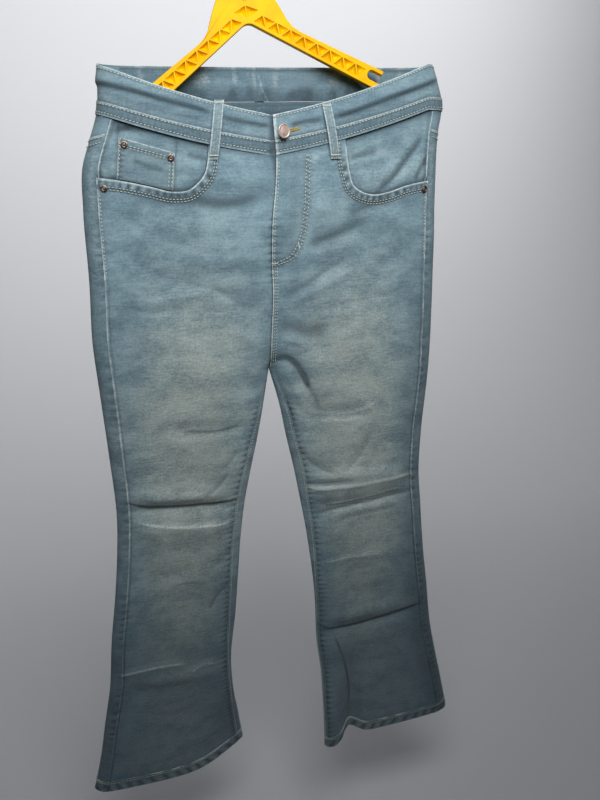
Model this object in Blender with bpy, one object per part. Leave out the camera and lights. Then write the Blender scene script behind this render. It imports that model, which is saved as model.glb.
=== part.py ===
"""Light blue bootcut jeans hung on a flat plastic hanger, one rigid body.

Metres, +Z up. X runs to the right of someone who faces the front, Y runs away from them, and the
origin is where the hanger's hook rests on its rail. "Right" and "left" are the wearer's, so the
right leg is at the smaller X.

A height on the cloth is its drop: how far it lies below the side tops of the waistband. Each half of
the garment is a loop of cloth at every drop, from the centre front (below the crotch, from the inner
fold) over the front, round the outer fold, over the back and home. A share from 0 to 1 of the loop's
length says where on it a point lies.
"""

import math
from collections import namedtuple

import bmesh
import bpy
import numpy as np
from mathutils import Matrix, Vector

RIGHT, LEFT = -1, 1

# ---- cloth sizes
DENIM = 0.0015
BAND_CLOTH = 0.0028
POCKET_CLOTH = 0.0012
SEAM_GAP = 0.0003
LAYER_GAP = 0.0004

# ---- how the garment hangs
WAIST_Z = -0.166
WAIST_X = 0.027
TILT = 0.036
CROTCH = 0.364
CROTCH_CURVE = 0.045
INSEAM_SETTLED = 0.410
HEM_END = 1.030
HEM_TALL = 0.019
FOLD_RUN = 0.030
CROWN = 0.24

# ---- outline, worked out from the photo: x of each fold at each drop
Outer = namedtuple("Outer", "drop right left")
OUTER = [
    Outer(0.000, -0.1700, 0.2240),
    Outer(0.048, -0.1752, 0.2400),
    Outer(0.077, -0.1860, 0.2372),
    Outer(0.103, -0.1960, 0.2375),
    Outer(0.150, -0.2010, 0.2390),
    Outer(0.234, -0.2033, 0.2430),
    Outer(0.304, -0.2075, 0.2460),
    Outer(0.383, -0.2056, 0.2475),
    Outer(0.470, -0.2030, 0.2440),
    Outer(0.550, -0.2020, 0.2445),
    Outer(0.613, -0.2075, 0.2520),
    Outer(0.680, -0.2165, 0.2600),
    Outer(0.760, -0.2295, 0.2730),
    Outer(0.840, -0.2395, 0.2850),
    Outer(0.900, -0.2520, 0.2985),
    Outer(0.965, -0.2650, 0.3145),
    Outer(1.030, -0.2810, 0.3300),
]
Middle = namedtuple("Middle", "drop centre")
MIDDLE = [
    Middle(0.000, 0.0190),
    Middle(0.054, 0.0192),
    Middle(0.104, 0.0226),
    Middle(0.137, 0.0212),
    Middle(0.171, 0.0175),
    Middle(0.221, 0.0160),
    Middle(0.266, 0.0170),
    Middle(0.320, 0.0145),
    Middle(0.364, 0.0138),
]
Inner = namedtuple("Inner", "drop right left")
INNER = [
    Inner(0.364, 0.0138, 0.0138),
    Inner(0.410, 0.0058, 0.0262),
    Inner(0.466, -0.0050, 0.0370),
    Inner(0.517, -0.0165, 0.0478),
    Inner(0.567, -0.0260, 0.0570),
    Inner(0.620, -0.0330, 0.0662),
    Inner(0.680, -0.0382, 0.0745),
    Inner(0.750, -0.0450, 0.0812),
    Inner(0.830, -0.0545, 0.0848),
    Inner(0.890, -0.0530, 0.0912),
    Inner(0.960, -0.0450, 0.0930),
    Inner(1.030, -0.0375, 0.0945),
]
Depth = namedtuple("Depth", "drop front back")
DEPTH = [
    Depth(0.000, 0.0200, 0.0190),
    Depth(0.060, 0.0225, 0.0210),
    Depth(0.150, 0.0220, 0.0270),
    Depth(0.250, 0.0215, 0.0300),
    Depth(0.364, 0.0195, 0.0260),
    Depth(0.470, 0.0165, 0.0200),
    Depth(0.600, 0.0135, 0.0150),
    Depth(0.760, 0.0140, 0.0145),
    Depth(0.900, 0.0155, 0.0160),
    Depth(1.030, 0.0180, 0.0185),
]
# how far in from each fold, on the front, the seams lie
Inset = namedtuple("Inset", "drop side inseam_right inseam_left")
INSET = [
    Inset(0.000, 0.0170, 0.0, 0.0),
    Inset(0.364, 0.0185, 0.0, 0.0),
    Inset(0.410, 0.0180, 0.0080, 0.0085),
    Inset(0.470, 0.0175, 0.0120, 0.0125),
    Inset(0.600, 0.0160, 0.0150, 0.0110),
    Inset(0.750, 0.0165, 0.0125, 0.0050),
    Inset(0.850, 0.0165, 0.0075, 0.0040),
    Inset(0.960, 0.0160, 0.0105, 0.0040),
    Inset(1.030, 0.0175, 0.0120, 0.0045),
]
# the largest folds: a line from one end to the other, how wide, how high (below 0 is a trough)
Fold = namedtuple("Fold", "side face x0 drop0 x1 drop1 reach rise")
FOLDS = [
    Fold(RIGHT, "front", -0.178, 0.540, -0.036, 0.555, 0.011, -0.0045),
    Fold(RIGHT, "front", -0.175, 0.522, -0.050, 0.535, 0.012, 0.0030),
    Fold(RIGHT, "front", -0.180, 0.574, -0.050, 0.590, 0.012, 0.0030),
    Fold(RIGHT, "front", -0.133, 0.430, -0.015, 0.440, 0.011, -0.0025),
    Fold(RIGHT, "front", -0.215, 0.826, -0.065, 0.838, 0.014, 0.0030),
    Fold(LEFT, "front", 0.068, 0.532, 0.215, 0.541, 0.011, 0.0045),
    Fold(LEFT, "front", 0.075, 0.583, 0.217, 0.570, 0.012, -0.0045),
    Fold(LEFT, "front", 0.060, 0.430, 0.150, 0.440, 0.011, -0.0025),
    Fold(LEFT, "front", 0.092, 0.806, 0.238, 0.797, 0.013, -0.0050),
    Fold(LEFT, "front", 0.110, 0.786, 0.225, 0.776, 0.014, 0.0035),
    Fold(RIGHT, "back", -0.185, 0.560, -0.045, 0.585, 0.013, 0.0045),
    Fold(RIGHT, "back", -0.180, 0.600, -0.050, 0.610, 0.012, -0.0040),
    Fold(LEFT, "back", 0.075, 0.590, 0.225, 0.560, 0.013, 0.0045),
    Fold(LEFT, "back", 0.080, 0.625, 0.225, 0.605, 0.012, -0.0040),
    Fold(RIGHT, "back", -0.170, 0.330, -0.040, 0.370, 0.016, -0.0040),
    Fold(LEFT, "back", 0.080, 0.372, 0.215, 0.335, 0.016, -0.0040),
    Fold(RIGHT, "back", -0.225, 0.845, -0.075, 0.825, 0.014, -0.0035),
    Fold(LEFT, "back", 0.110, 0.822, 0.260, 0.840, 0.014, -0.0035),
]
# the inner corner of each hem swings out of the leg's plane: y at the fold, and a valley beside it
Swing = namedtuple("Swing", "side from_drop at_fold run valley_x valley_run valley")
SWINGS = [
    Swing(RIGHT, 0.86, 0.034, 0.055, -0.120, 0.040, 0.000),
    Swing(LEFT, 0.80, -0.024, 0.034, 0.1460, 0.016, 0.020),
]

# ---- waistband, from the folds (sides) to the centre front
DIP = 0.0555
STRIP_SIDE, STRIP_FRONT = 0.0370, 0.0825
BAND_SIDE, BAND_FRONT = 0.0515, 0.0990
BAND_HALF = 0.195
BAND_LIFT = 0.0006
STRIP_LIFT = 0.0012
BAND_SPLIT = 0.030

# ---- yoke and pockets
YOKE_SIDE, YOKE_BACK = 0.072, 0.112
Scoop = namedtuple("Scoop", "across drop")
SCOOPS = {
    RIGHT: [
        Scoop(0.0765, 0.0850), Scoop(0.0780, 0.1000), Scoop(0.0830, 0.1175), Scoop(0.0920, 0.1275),
        Scoop(0.1010, 0.1337), Scoop(0.1180, 0.1353), Scoop(0.1440, 0.1290), Scoop(0.1700, 0.1228),
        Scoop(0.2010, 0.1178),
    ],
    LEFT: [
        Scoop(0.0870, 0.0830), Scoop(0.0900, 0.1060), Scoop(0.0935, 0.1210), Scoop(0.0985, 0.1345),
        Scoop(0.1100, 0.1430), Scoop(0.1240, 0.1469), Scoop(0.1450, 0.1447), Scoop(0.1670, 0.1384),
        Scoop(0.2010, 0.1334),
    ],
}
SCOOP_ZERO = 0.0210
LEVEL_UNDER_SCOOP = 0.160
PLAIN_COLUMNS = 4
SCOOP_STEPS = (0, 0.25, 0.5, 0.75)
FACING_END = 0.172
FACING_UNDERLAP = 0.018
FACING_STEPS = (0, 0.14, 0.28, 0.42, 0.55, 0.67, 0.77, 0.85, 0.92, 0.97, 1)
COIN_TOP = [(-0.1536, 0.0760), (-0.0939, 0.0937)]
COIN_FOOT_X = (-0.1600, -0.0985)
BACK_POCKET_WIDE, BACK_POCKET_TALL, BACK_POCKET_POINT = 0.138, 0.125, 0.022
BACK_POCKET_DROP, BACK_POCKET_ACROSS = 0.140, 0.112

# ---- belt loops: x and drop of both ends
LOOP_WIDE = 0.0110
LOOP_CLOTH = 0.0016
Loop = namedtuple("Loop", "name side face x0 drop0 x1 drop1")
LOOPS = [
    Loop("belt_loop_front_right", RIGHT, "front", -0.0415, 0.0400, -0.0510, 0.1020),
    Loop("belt_loop_front_left", LEFT, "front", 0.0830, 0.0440, 0.0955, 0.1045),
    Loop("belt_loop_back_right", RIGHT, "back", -0.0560, 0.0010, -0.0560, 0.0610),
    Loop("belt_loop_back_left", LEFT, "back", 0.1020, 0.0010, 0.1020, 0.0610),
    Loop("belt_loop_back_centre", RIGHT, "back", 0.0130, 0.0010, 0.0130, 0.0610),
]

# ---- metal
BUTTON_X, BUTTON_DROP = 0.0300, 0.0735
BUTTON_RADIUS, BUTTON_THICK = 0.0080, 0.0022
BUTTON_TURN = math.radians(18)
SHANK_RADIUS, SHANK_TALL = 0.0035, 0.0030
RIVET_RADIUS, RIVET_TALL = 0.0044, 0.0018
Rivet = namedtuple("Rivet", "name side x drop lift")
RIVETS = [
    Rivet("rivet_pocket_right", RIGHT, -0.1745, 0.1290, 0.0),
    Rivet("rivet_pocket_left", LEFT, 0.2160, 0.1430, 0.0),
    Rivet("rivet_coin_outer", RIGHT, -0.1485, 0.0840, -DENIM - LAYER_GAP + POCKET_CLOTH + LAYER_GAP),
    Rivet("rivet_coin_inner", RIGHT, -0.0985, 0.0985, -DENIM - LAYER_GAP + POCKET_CLOTH + LAYER_GAP),
]

# ---- hanger: its arms' lower edges meet at the apex, and its hook is a crook in line with the neck
HANGER_THICK = 0.0090
ARM_ANGLE = math.radians(31.0)
HANGER_ROLL = math.radians(9.0)
APEX_X, APEX_Z = -0.0038, -0.1262
APEX_ROUND = 0.012
ARM_REACH = 0.2366
ARM_WIDE_NECK, ARM_WIDE_NOTCH, ARM_WIDE_END = 0.0168, 0.0217, 0.0110
ARM_FROM, NOTCH_START, NOTCH_END = 0.0580, 0.1500, 0.1680
NOTCH_FLOOR, NOTCH_ROOF = 0.0070, 0.0172
NECK = [
    (0.0510, -0.0100), (0.0452, -0.0022), (0.0388, 0.0110), (0.0335, 0.0205),
    (0.0280, 0.0300), (0.0170, 0.0440), (0.0075, 0.0560),
]
HOOK_WIDE = 0.0085
HOOK_RADIUS = 0.0211
HOOK_END = math.radians(-50)
RECESS_PITCH, RECESS_FIRST, RECESS_COUNT = 0.0169, 0.0130, 8
RECESS_HALF = 0.0070
RECESS_RIM = 0.0034
RECESS_TALL_FIRST, RECESS_TALL_LAST = 0.0128, 0.0148
RECESS_RIB = 0.0006
RECESS_DEEP = 0.0015
Chevron = namedtuple("Chevron", "top half shoulder foot")
CHEVRONS = [Chevron(0.0156, 0.0142, 0.0099, 0.0044), Chevron(0.0330, 0.0100, 0.0275, 0.0195)]

MATERIALS = {
    "denim": ((0.36, 0.47, 0.52), 0.85, 0.0),
    "button_metal": ((0.55, 0.40, 0.33), 0.35, 1.0),
    "rivet_metal": ((0.42, 0.33, 0.28), 0.4, 1.0),
    "hanger_plastic": ((1.0, 0.55, 0.0), 0.4, 0.0),
}


def clear_scene():
    for thing in list(bpy.data.objects):
        bpy.data.objects.remove(thing, do_unlink=True)


def material(name):
    found = bpy.data.materials.get(name)
    if found:
        return found
    colour, roughness, metallic = MATERIALS[name]
    made = bpy.data.materials.new(name)
    made.use_nodes = True
    shader = made.node_tree.nodes["Principled BSDF"]
    shader.inputs["Base Color"].default_value = (*colour, 1.0)
    shader.inputs["Roughness"].default_value = roughness
    shader.inputs["Metallic"].default_value = metallic
    return made


# ---------------------------------------------------------------- the form
def read(table, column, drop):
    """A column of a table at any drop, along a smooth curve through its rows."""
    xs = np.array([row.drop for row in table])
    ys = np.array([getattr(row, column) for row in table])
    slopes = np.gradient(ys, xs)
    drop = min(max(drop, xs[0]), xs[-1])
    i = int(np.clip(np.searchsorted(xs, drop) - 1, 0, len(xs) - 2))
    width = xs[i + 1] - xs[i]
    t = (drop - xs[i]) / width
    start = (1 + 2 * t) * (1 - t) ** 2 * ys[i] + t * (1 - t) ** 2 * width * slopes[i]
    return start + t * t * (3 - 2 * t) * ys[i + 1] + t * t * (t - 1) * width * slopes[i + 1]


def ease(value, low, high):
    t = min(max((value - low) / (high - low), 0.0), 1.0)
    return t * t * (3 - 2 * t)


def outer_x(side, drop):
    return read(OUTER, "right" if side == RIGHT else "left", drop)


def inner_x(side, drop):
    if drop < CROTCH:
        return read(MIDDLE, "centre", drop) + side * SEAM_GAP / 2
    return read(INNER, "right" if side == RIGHT else "left", drop) + side * SEAM_GAP / 2


def opening(drop):
    """1 above the crotch, where front and back stay apart, down to 0 where they meet."""
    if drop >= CROTCH:
        return 0.0
    short = max(0.0, 1 - (CROTCH - drop) / CROTCH_CURVE)
    return math.sqrt(1 - short * short)


def round_off(distance, run):
    return np.sqrt(1 - (1 - np.clip(distance / run, 0, 1)) ** 2)


def fold_rise(side, face, x, drop):
    total = np.zeros_like(x)
    for fold in FOLDS:
        if fold.side != side or fold.face != face:
            continue
        dx, dd = fold.x1 - fold.x0, fold.drop1 - fold.drop0
        length = math.hypot(dx, dd)
        along = ((x - fold.x0) * dx + (drop - fold.drop0) * dd) / length**2
        away = ((x - fold.x0) * dd - (drop - fold.drop0) * dx) / length
        ends = np.clip(4 * np.minimum(along, 1 - along) + 0.3, 0, 1)
        total += fold.rise * ends * np.exp(-((away / fold.reach) ** 2))
    return total


def swing_y(side, x, drop):
    total = np.zeros_like(x)
    for swing in SWINGS:
        if swing.side != side:
            continue
        strength = ease(drop, swing.from_drop, HEM_END)
        from_fold = np.abs(x - inner_x(side, drop))
        total += strength * swing.at_fold * np.exp(-((from_fold / swing.run) ** 2))
        total += strength * swing.valley * np.exp(-(((x - swing.valley_x) / swing.valley_run) ** 2))
    return total


LOOP_POINTS = 160
loops_made = {}


def loop_of(side, drop):
    """The loop of one half at one drop: x and y of its points, its outer fold's share, its length."""
    key = (side, round(drop, 6))
    if key in loops_made:
        return loops_made[key]
    x_in, x_out = inner_x(side, drop), outer_x(side, drop)
    half = (1 - np.cos(np.pi * np.linspace(0, 1, LOOP_POINTS))) / 2
    x = x_in + (x_out - x_in) * half
    apart = opening(drop)
    outer_round = round_off(np.abs(x_out - x), FOLD_RUN)
    inner_round = np.sqrt(apart**2 + (1 - apart**2) * round_off(np.abs(x - x_in), FOLD_RUN) ** 2)
    as_body = 1 - CROWN + CROWN * np.cos(np.pi / 2 * half)
    as_leg = 1 - CROWN + CROWN * np.sin(np.pi * half)
    legs = ease(drop, CROTCH - 0.16, CROTCH + 0.06)
    reach = (as_body * (1 - legs) + as_leg * legs) * outer_round * inner_round
    flat = outer_round * inner_round
    middle = swing_y(side, x, drop)
    front = middle - read(DEPTH, "front", drop) * reach - fold_rise(side, "front", x, drop) * flat
    back = middle + read(DEPTH, "back", drop) * reach + fold_rise(side, "back", x, drop) * flat
    xs = np.concatenate([x, x[-2::-1]])
    ys = np.concatenate([front, back[-2::-1]])
    run = np.concatenate([[0], np.cumsum(np.hypot(np.diff(xs), np.diff(ys)))])
    made = (xs, ys, run / run[-1], run[LOOP_POINTS - 1] / run[-1], run[-1])
    loops_made[key] = made
    return made


def raw_point(side, share, drop):
    xs, ys, shares, _, _ = loop_of(side, drop)
    if drop >= CROTCH:
        share = share % 1.0
    share = min(max(share, 0.0), 1.0)
    x, y = np.interp(share, shares, xs), np.interp(share, shares, ys)
    return np.array([x, y, WAIST_Z - drop + TILT * (x - WAIST_X)])


def spot(side, share, drop, lift=0.0):
    """A point of the cloth, moved out along its normal by lift."""
    step_share, step_drop = 0.004, 0.002
    low, high = share - step_share, share + step_share
    if drop < CROTCH:
        low, high = max(low, 0.0), min(high, 1.0)
    along = raw_point(side, high, drop) - raw_point(side, low, drop)
    low_drop, high_drop = max(drop - step_drop, 0.0), drop + step_drop
    if drop < CROTCH <= high_drop:
        high_drop = drop
    if low_drop < CROTCH <= drop:
        low_drop = drop
    down = raw_point(side, share, high_drop) - raw_point(side, share, low_drop)
    normal = np.cross(along, down) * -side
    normal /= np.linalg.norm(normal)
    return raw_point(side, share, drop) + normal * lift, normal


def front_share(side, drop, x):
    xs, _, shares, _, _ = loop_of(side, drop)
    front_x = xs[:LOOP_POINTS] * side
    return float(np.interp(x * side, front_x, shares[:LOOP_POINTS]))


def back_share(side, drop, x):
    xs, _, shares, _, _ = loop_of(side, drop)
    back_x = xs[LOOP_POINTS - 1 :][::-1] * side
    return float(np.interp(x * side, back_x, shares[LOOP_POINTS - 1 :][::-1]))


def gap_share(side, drop):
    return SEAM_GAP / 2 / loop_of(side, drop)[4]


def side_seam(side, drop):
    return front_share(side, drop, outer_x(side, drop) - side * read(INSET, "side", drop))


def inseam(side, drop):
    """The share of the inseam: at the inner fold by the crotch, then a little way on to the front."""
    if drop <= CROTCH:
        return 0.0
    column = "inseam_right" if side == RIGHT else "inseam_left"
    begun = min((drop - CROTCH) / (INSEAM_SETTLED - CROTCH), 1.0)
    inset = read(INSET, column, max(drop, INSEAM_SETTLED))
    return front_share(side, drop, inner_x(side, drop) + side * inset) * begun


def front_line(x, at_sides, at_front):
    """A drop along the front waist: a soft V from the centre front up to the sides."""
    r = min(abs(x - read(MIDDLE, "centre", 0.05)) / BAND_HALF, 1.0)
    return at_sides + (at_front - at_sides) * (1 - 0.6 * r - 0.4 * r * r)


def band_line(side, share, at_sides, at_front):
    """The same line all round: on the back it is level with the sides."""
    if share >= loop_of(side, at_sides + 0.01)[3]:
        return at_sides
    drop = at_sides
    for _ in range(6):
        drop = front_line(raw_point(side, share, drop)[0], at_sides, at_front)
    return drop


# ---------------------------------------------------------------- solids
def finish(name, bm, material_name, smooth=True):
    bmesh.ops.remove_doubles(bm, verts=bm.verts, dist=1e-6)
    if bm.calc_volume(signed=True) < 0:
        bmesh.ops.reverse_faces(bm, faces=bm.faces)
    mesh = bpy.data.meshes.new(name)
    bm.to_mesh(mesh)
    bm.free()
    made = bpy.data.objects.new(name, mesh)
    bpy.context.scene.collection.objects.link(made)
    mesh.materials.append(material(material_name))
    if smooth:
        mesh.shade_smooth()
        mesh.set_sharp_from_angle(angle=math.radians(40))
    return made


def shell(name, outer, inner, material_name, closed=False):
    """A wall between two grids of points, open at its ends or closed round into a tube."""
    rows, columns = len(outer), len(outer[0])
    bm = bmesh.new()
    out = [[bm.verts.new(p) for p in row] for row in outer]
    into = [[bm.verts.new(p) for p in row] for row in inner]
    steps = range(columns if closed else columns - 1)
    for r in range(rows - 1):
        for c in steps:
            n = (c + 1) % columns
            bm.faces.new((out[r][c], out[r + 1][c], out[r + 1][n], out[r][n]))
            bm.faces.new((into[r][c], into[r][n], into[r + 1][n], into[r + 1][c]))
    for c in steps:
        n = (c + 1) % columns
        bm.faces.new((out[0][n], into[0][n], into[0][c], out[0][c]))
        bm.faces.new((out[-1][c], into[-1][c], into[-1][n], out[-1][n]))
    if not closed:
        for r in range(rows - 1):
            bm.faces.new((out[r][0], into[r][0], into[r + 1][0], out[r + 1][0]))
            bm.faces.new((out[r + 1][-1], into[r + 1][-1], into[r][-1], out[r][-1]))
    return finish(name, bm, material_name)


def sheet(name, grid, lift, wall, material_name, closed=False):
    """A wall through a grid of (side, share, drop) places; lift may be a number or a function of x."""
    outer, inner = [], []
    for row in grid:
        outer.append([])
        inner.append([])
        for side, share, drop in row:
            base, normal = spot(side, share, drop)
            top = lift(base[0]) if callable(lift) else lift
            outer[-1].append(base + normal * top)
            inner[-1].append(base + normal * (top - wall))
    return shell(name, outer, inner, material_name, closed)


def levels(*stops):
    """Drops from stop to stop: pairs of (drop, steps to the next stop)."""
    found = []
    for (start, count), (end, _) in zip(stops, stops[1:]):
        found += [start + (end - start) * i / count for i in range(count)]
    return found + [stops[-1][0]]


LEG_LEVELS = levels(
    (LEVEL_UNDER_SCOOP, 4), (CROTCH - 0.030, 1), (CROTCH - 0.012, 1), (CROTCH - 0.003, 1), (CROTCH, 2),
    (CROTCH + 0.015, 3), (0.420, 1), (0.440, 2), (0.510, 7), (0.610, 3), (0.775, 5), (0.840, 5),
    (HEM_END - HEM_TALL - SEAM_GAP, 0),
)


def spread(low, high, fractions):
    return [low + (high - low) * f for f in fractions]


# ---------------------------------------------------------------- panels
def scoop_drop(side, x):
    """The drop of the pocket's edge at x, and far past either end of it the edge's own ends."""
    rows = SCOOPS[side]
    return float(np.interp(abs(x - SCOOP_ZERO), [r.across for r in rows], [r.drop for r in rows]))


def scoop_start(side):
    return SCOOP_ZERO + side * SCOOPS[side][0].across


def seam_x(side, drop):
    return outer_x(side, drop) - side * read(INSET, "side", drop)


def panel_share(side, drop, t):
    """The share a part t of the way over the front panel, seam to seam."""
    low, high = inseam(side, drop) + gap_share(side, drop), side_seam(side, drop) - gap_share(side, drop)
    return low + (high - low) * t


def front_panel(side):
    """The front of one leg, its top outer corner cut away along the pocket's edge."""
    name = "front_panel_right" if side == RIGHT else "front_panel_left"
    start, mouth = read(MIDDLE, "centre", LEVEL_UNDER_SCOOP), scoop_start(side)
    places = [start + (mouth - start) * i / PLAIN_COLUMNS for i in range(PLAIN_COLUMNS)]
    tops = [front_line(x, BAND_SIDE, BAND_FRONT) + SEAM_GAP for x in places]
    curved = [SCOOP_ZERO + side * row.across for row in SCOOPS[side][:-1]]
    edge = seam_x(side, LEVEL_UNDER_SCOOP)
    curved += [curved[-1] + (edge - curved[-1]) * t for t in (0.45, 0.78, 1.0)]
    places += curved
    tops += [max(scoop_drop(side, x), front_line(x, BAND_SIDE, BAND_FRONT) + SEAM_GAP) for x in curved]
    last = len(places) - 1
    span = panel_share(side, LEVEL_UNDER_SCOOP, 0), panel_share(side, LEVEL_UNDER_SCOOP, 1)
    tight = [(front_share(side, LEVEL_UNDER_SCOOP, x) - span[0]) / (span[1] - span[0]) for x in places]
    grid = []
    for part in SCOOP_STEPS:
        grid.append([])
        for index, (x, top) in enumerate(zip(places, tops)):
            drop = top + (LEVEL_UNDER_SCOOP - top) * part
            if index in (0, last):
                share = panel_share(side, drop, index / last)
            else:
                share = front_share(side, drop, x)
            grid[-1].append((side, share, drop))
    for drop in LEG_LEVELS:
        mix = ease(drop, LEVEL_UNDER_SCOOP, 0.30)
        row = []
        for index, t in enumerate(tight):
            t = min(max(t, 0.0), 1.0) if index not in (0, last) else index / last
            row.append((side, panel_share(side, drop, t * (1 - mix) + index / last * mix), drop))
        grid.append(row)
    return sheet(name, grid, 0.0, DENIM, "denim")


BACK_FRACTIONS = (0, 0.02, 0.04, 0.065, 0.09, 0.12, 0.16, 0.26, 0.38, 0.50, 0.62, 0.74, 0.84, 0.90, 0.935, 0.97, 1)


def yoke_line(f):
    return YOKE_SIDE + (YOKE_BACK - YOKE_SIDE) * f


def back_row(side, drops):
    row = []
    for f, drop in zip(BACK_FRACTIONS, drops):
        low = side_seam(side, drop) + gap_share(side, drop)
        high = 1 + inseam(side, drop) - gap_share(side, drop)
        row.append((side, low + (high - low) * f, drop))
    return row


def back_panel(side):
    """The back of one leg; it wraps both folds, so its seams lie on the front."""
    name = "back_panel_right" if side == RIGHT else "back_panel_left"
    tops = [yoke_line(f) + SEAM_GAP for f in BACK_FRACTIONS]
    grid = []
    pocket_end = scoop_drop(side, seam_x(side, LEVEL_UNDER_SCOOP))
    stops = spread(tops[0], pocket_end, (0, 0.5)) + spread(pocket_end, LEVEL_UNDER_SCOOP, SCOOP_STEPS)
    for stop in stops:
        part = (stop - tops[0]) / (LEVEL_UNDER_SCOOP - tops[0])
        grid.append(back_row(side, [top + (LEVEL_UNDER_SCOOP - top) * part for top in tops]))
    for level in LEG_LEVELS:
        grid.append(back_row(side, [level] * len(BACK_FRACTIONS)))
    return sheet(name, grid, 0.0, DENIM, "denim")


def yoke(side):
    name = "yoke_right" if side == RIGHT else "yoke_left"
    grid = []
    for step in range(4):
        drops = []
        for f in BACK_FRACTIONS:
            low, high = side_seam(side, BAND_SIDE), 1.0
            top = band_line(side, low + (high - low) * f, BAND_SIDE, BAND_FRONT) + 1.5 * SEAM_GAP
            drops.append(top + (yoke_line(f) - top) * step / 3)
        grid.append(back_row(side, drops))
    return sheet(name, grid, 0.0, DENIM, "denim")


def hem(side):
    """The turned-up edge of one leg: a thicker ring below both panels."""
    name = "hem_right" if side == RIGHT else "hem_left"
    count = 44
    grid = []
    for step in range(3):
        drop = HEM_END - HEM_TALL + HEM_TALL * step / 2
        fold = loop_of(side, drop)[3]
        row = []
        for i in range(count):
            half, t = (0, i / (count / 2)) if i < count / 2 else (1, i / (count / 2) - 1)
            t = (1 - math.cos(math.pi * t)) / 2 * 0.6 + t * 0.4
            share = fold * t if half == 0 else fold + (1 - fold) * t
            row.append((side, share, drop))
        grid.append(row)
    return sheet(name, grid, 0.0004, 0.0026, "denim", closed=True)


# ---------------------------------------------------------------- waistband
def band_piece(name, places, top, foot, lift, wall, rows=3):
    """A strip of waistband: places are (side, share), top and foot are (side drop, front drop)."""
    grid = []
    for step in range(rows):
        t = step / (rows - 1)
        at_sides = top[0] + (foot[0] - top[0]) * t
        at_front = top[1] + (foot[1] - top[1]) * t
        grid.append([(side, share, band_line(side, share, at_sides, at_front)) for side, share in places])
    return sheet(name, grid, lift, wall, "denim")


def waistband():
    """The band and the narrow strip under it, each in two fronts and a back, split behind the folds."""
    reference = 0.05
    edge_x = read(MIDDLE, "centre", reference)

    def split(side):
        return loop_of(side, reference)[3] + BAND_SPLIT / loop_of(side, reference)[4]

    def front_places(side, start):
        return [(side, s) for s in spread(start, split(side) - gap_share(side, reference), FRONT_STEPS)]

    back_places = []
    for s in spread(split(RIGHT) + gap_share(RIGHT, reference), 1.0, BACK_STEPS):
        back_places.append((RIGHT, s))
    for s in spread(1.0, split(LEFT) + gap_share(LEFT, reference), BACK_STEPS_HOME)[1:]:
        back_places.append((LEFT, s))
    under = [(LEFT, front_share(LEFT, reference, edge_x + 0.024 - 0.008 * i)) for i in range(3)]
    parts = (
        ("waistband", (0.0, DIP), (STRIP_SIDE - SEAM_GAP, STRIP_FRONT - SEAM_GAP), BAND_LIFT, BAND_CLOTH),
        ("lower_band", (STRIP_SIDE, STRIP_FRONT), (BAND_SIDE, BAND_FRONT), STRIP_LIFT, BAND_CLOTH + 0.0004),
    )
    for name, top, foot, lift, wall in parts:
        low = lift - wall - LAYER_GAP

        def dive(x, lift=lift, low=low):
            return low + (lift - low) * ease(edge_x - x, 0.001, 0.016)

        start = gap_share(LEFT, reference)
        band_piece(name + "_right", under + front_places(RIGHT, 0.0), top, foot, dive, wall)
        band_piece(name + "_left", front_places(LEFT, start), top, foot, lift, wall)
        band_piece(name + "_back", back_places, top, foot, lift, wall)


FRONT_STEPS = (0, 0.1, 0.2, 0.3, 0.42, 0.54, 0.66, 0.76, 0.82, 0.86, 0.89, 0.92, 0.95, 1)
BACK_STEPS = (0, 0.15, 0.3, 0.45, 0.6, 0.75, 0.9, 1)
BACK_STEPS_HOME = (0, 0.1, 0.25, 0.4, 0.55, 0.7, 0.85, 1)


# ---------------------------------------------------------------- pockets and fly
def pocket_facing(side):
    """The piece seen through the pocket's mouth, one layer in from the front panel."""
    name = "pocket_facing_right" if side == RIGHT else "pocket_facing_left"
    begin = scoop_start(side) - side * FACING_UNDERLAP
    rows = 6
    grid = []
    for r in range(rows + 1):
        row = []
        for t in FACING_STEPS:
            top = 0.07
            for _ in range(4):
                top = front_line(begin + (seam_x(side, top) - begin) * t, BAND_SIDE, BAND_FRONT) + 3 * SEAM_GAP
            drop = top + (FACING_END - top) * r / rows
            x = begin + (seam_x(side, drop) - side * SEAM_GAP - begin) * t
            row.append((side, front_share(side, drop, x), drop))
        grid.append(row)
    return sheet(name, grid, -DENIM - LAYER_GAP, POCKET_CLOTH, "denim")


def coin_pocket():
    """The small pocket on the right facing; its foot goes in under the front panel's edge."""
    (x0, drop0), (x1, drop1) = COIN_TOP
    columns, rows = 6, 5
    grid = []
    for r in range(rows + 1):
        row = []
        for c in range(columns + 1):
            t = c / columns
            top_x, foot_x = x0 + (x1 - x0) * t, COIN_FOOT_X[0] + (COIN_FOOT_X[1] - COIN_FOOT_X[0]) * t
            top_drop = drop0 + (drop1 - drop0) * t
            foot_drop = scoop_drop(RIGHT, foot_x) - 0.0012
            x = top_x + (foot_x - top_x) * r / rows
            drop = top_drop + (foot_drop - top_drop) * r / rows
            row.append((RIGHT, front_share(RIGHT, drop, x), drop))
        grid.append(row)
    lift = -DENIM - LAYER_GAP + LAYER_GAP + POCKET_CLOTH
    return sheet("coin_pocket", grid, lift, POCKET_CLOTH, "denim")


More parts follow.
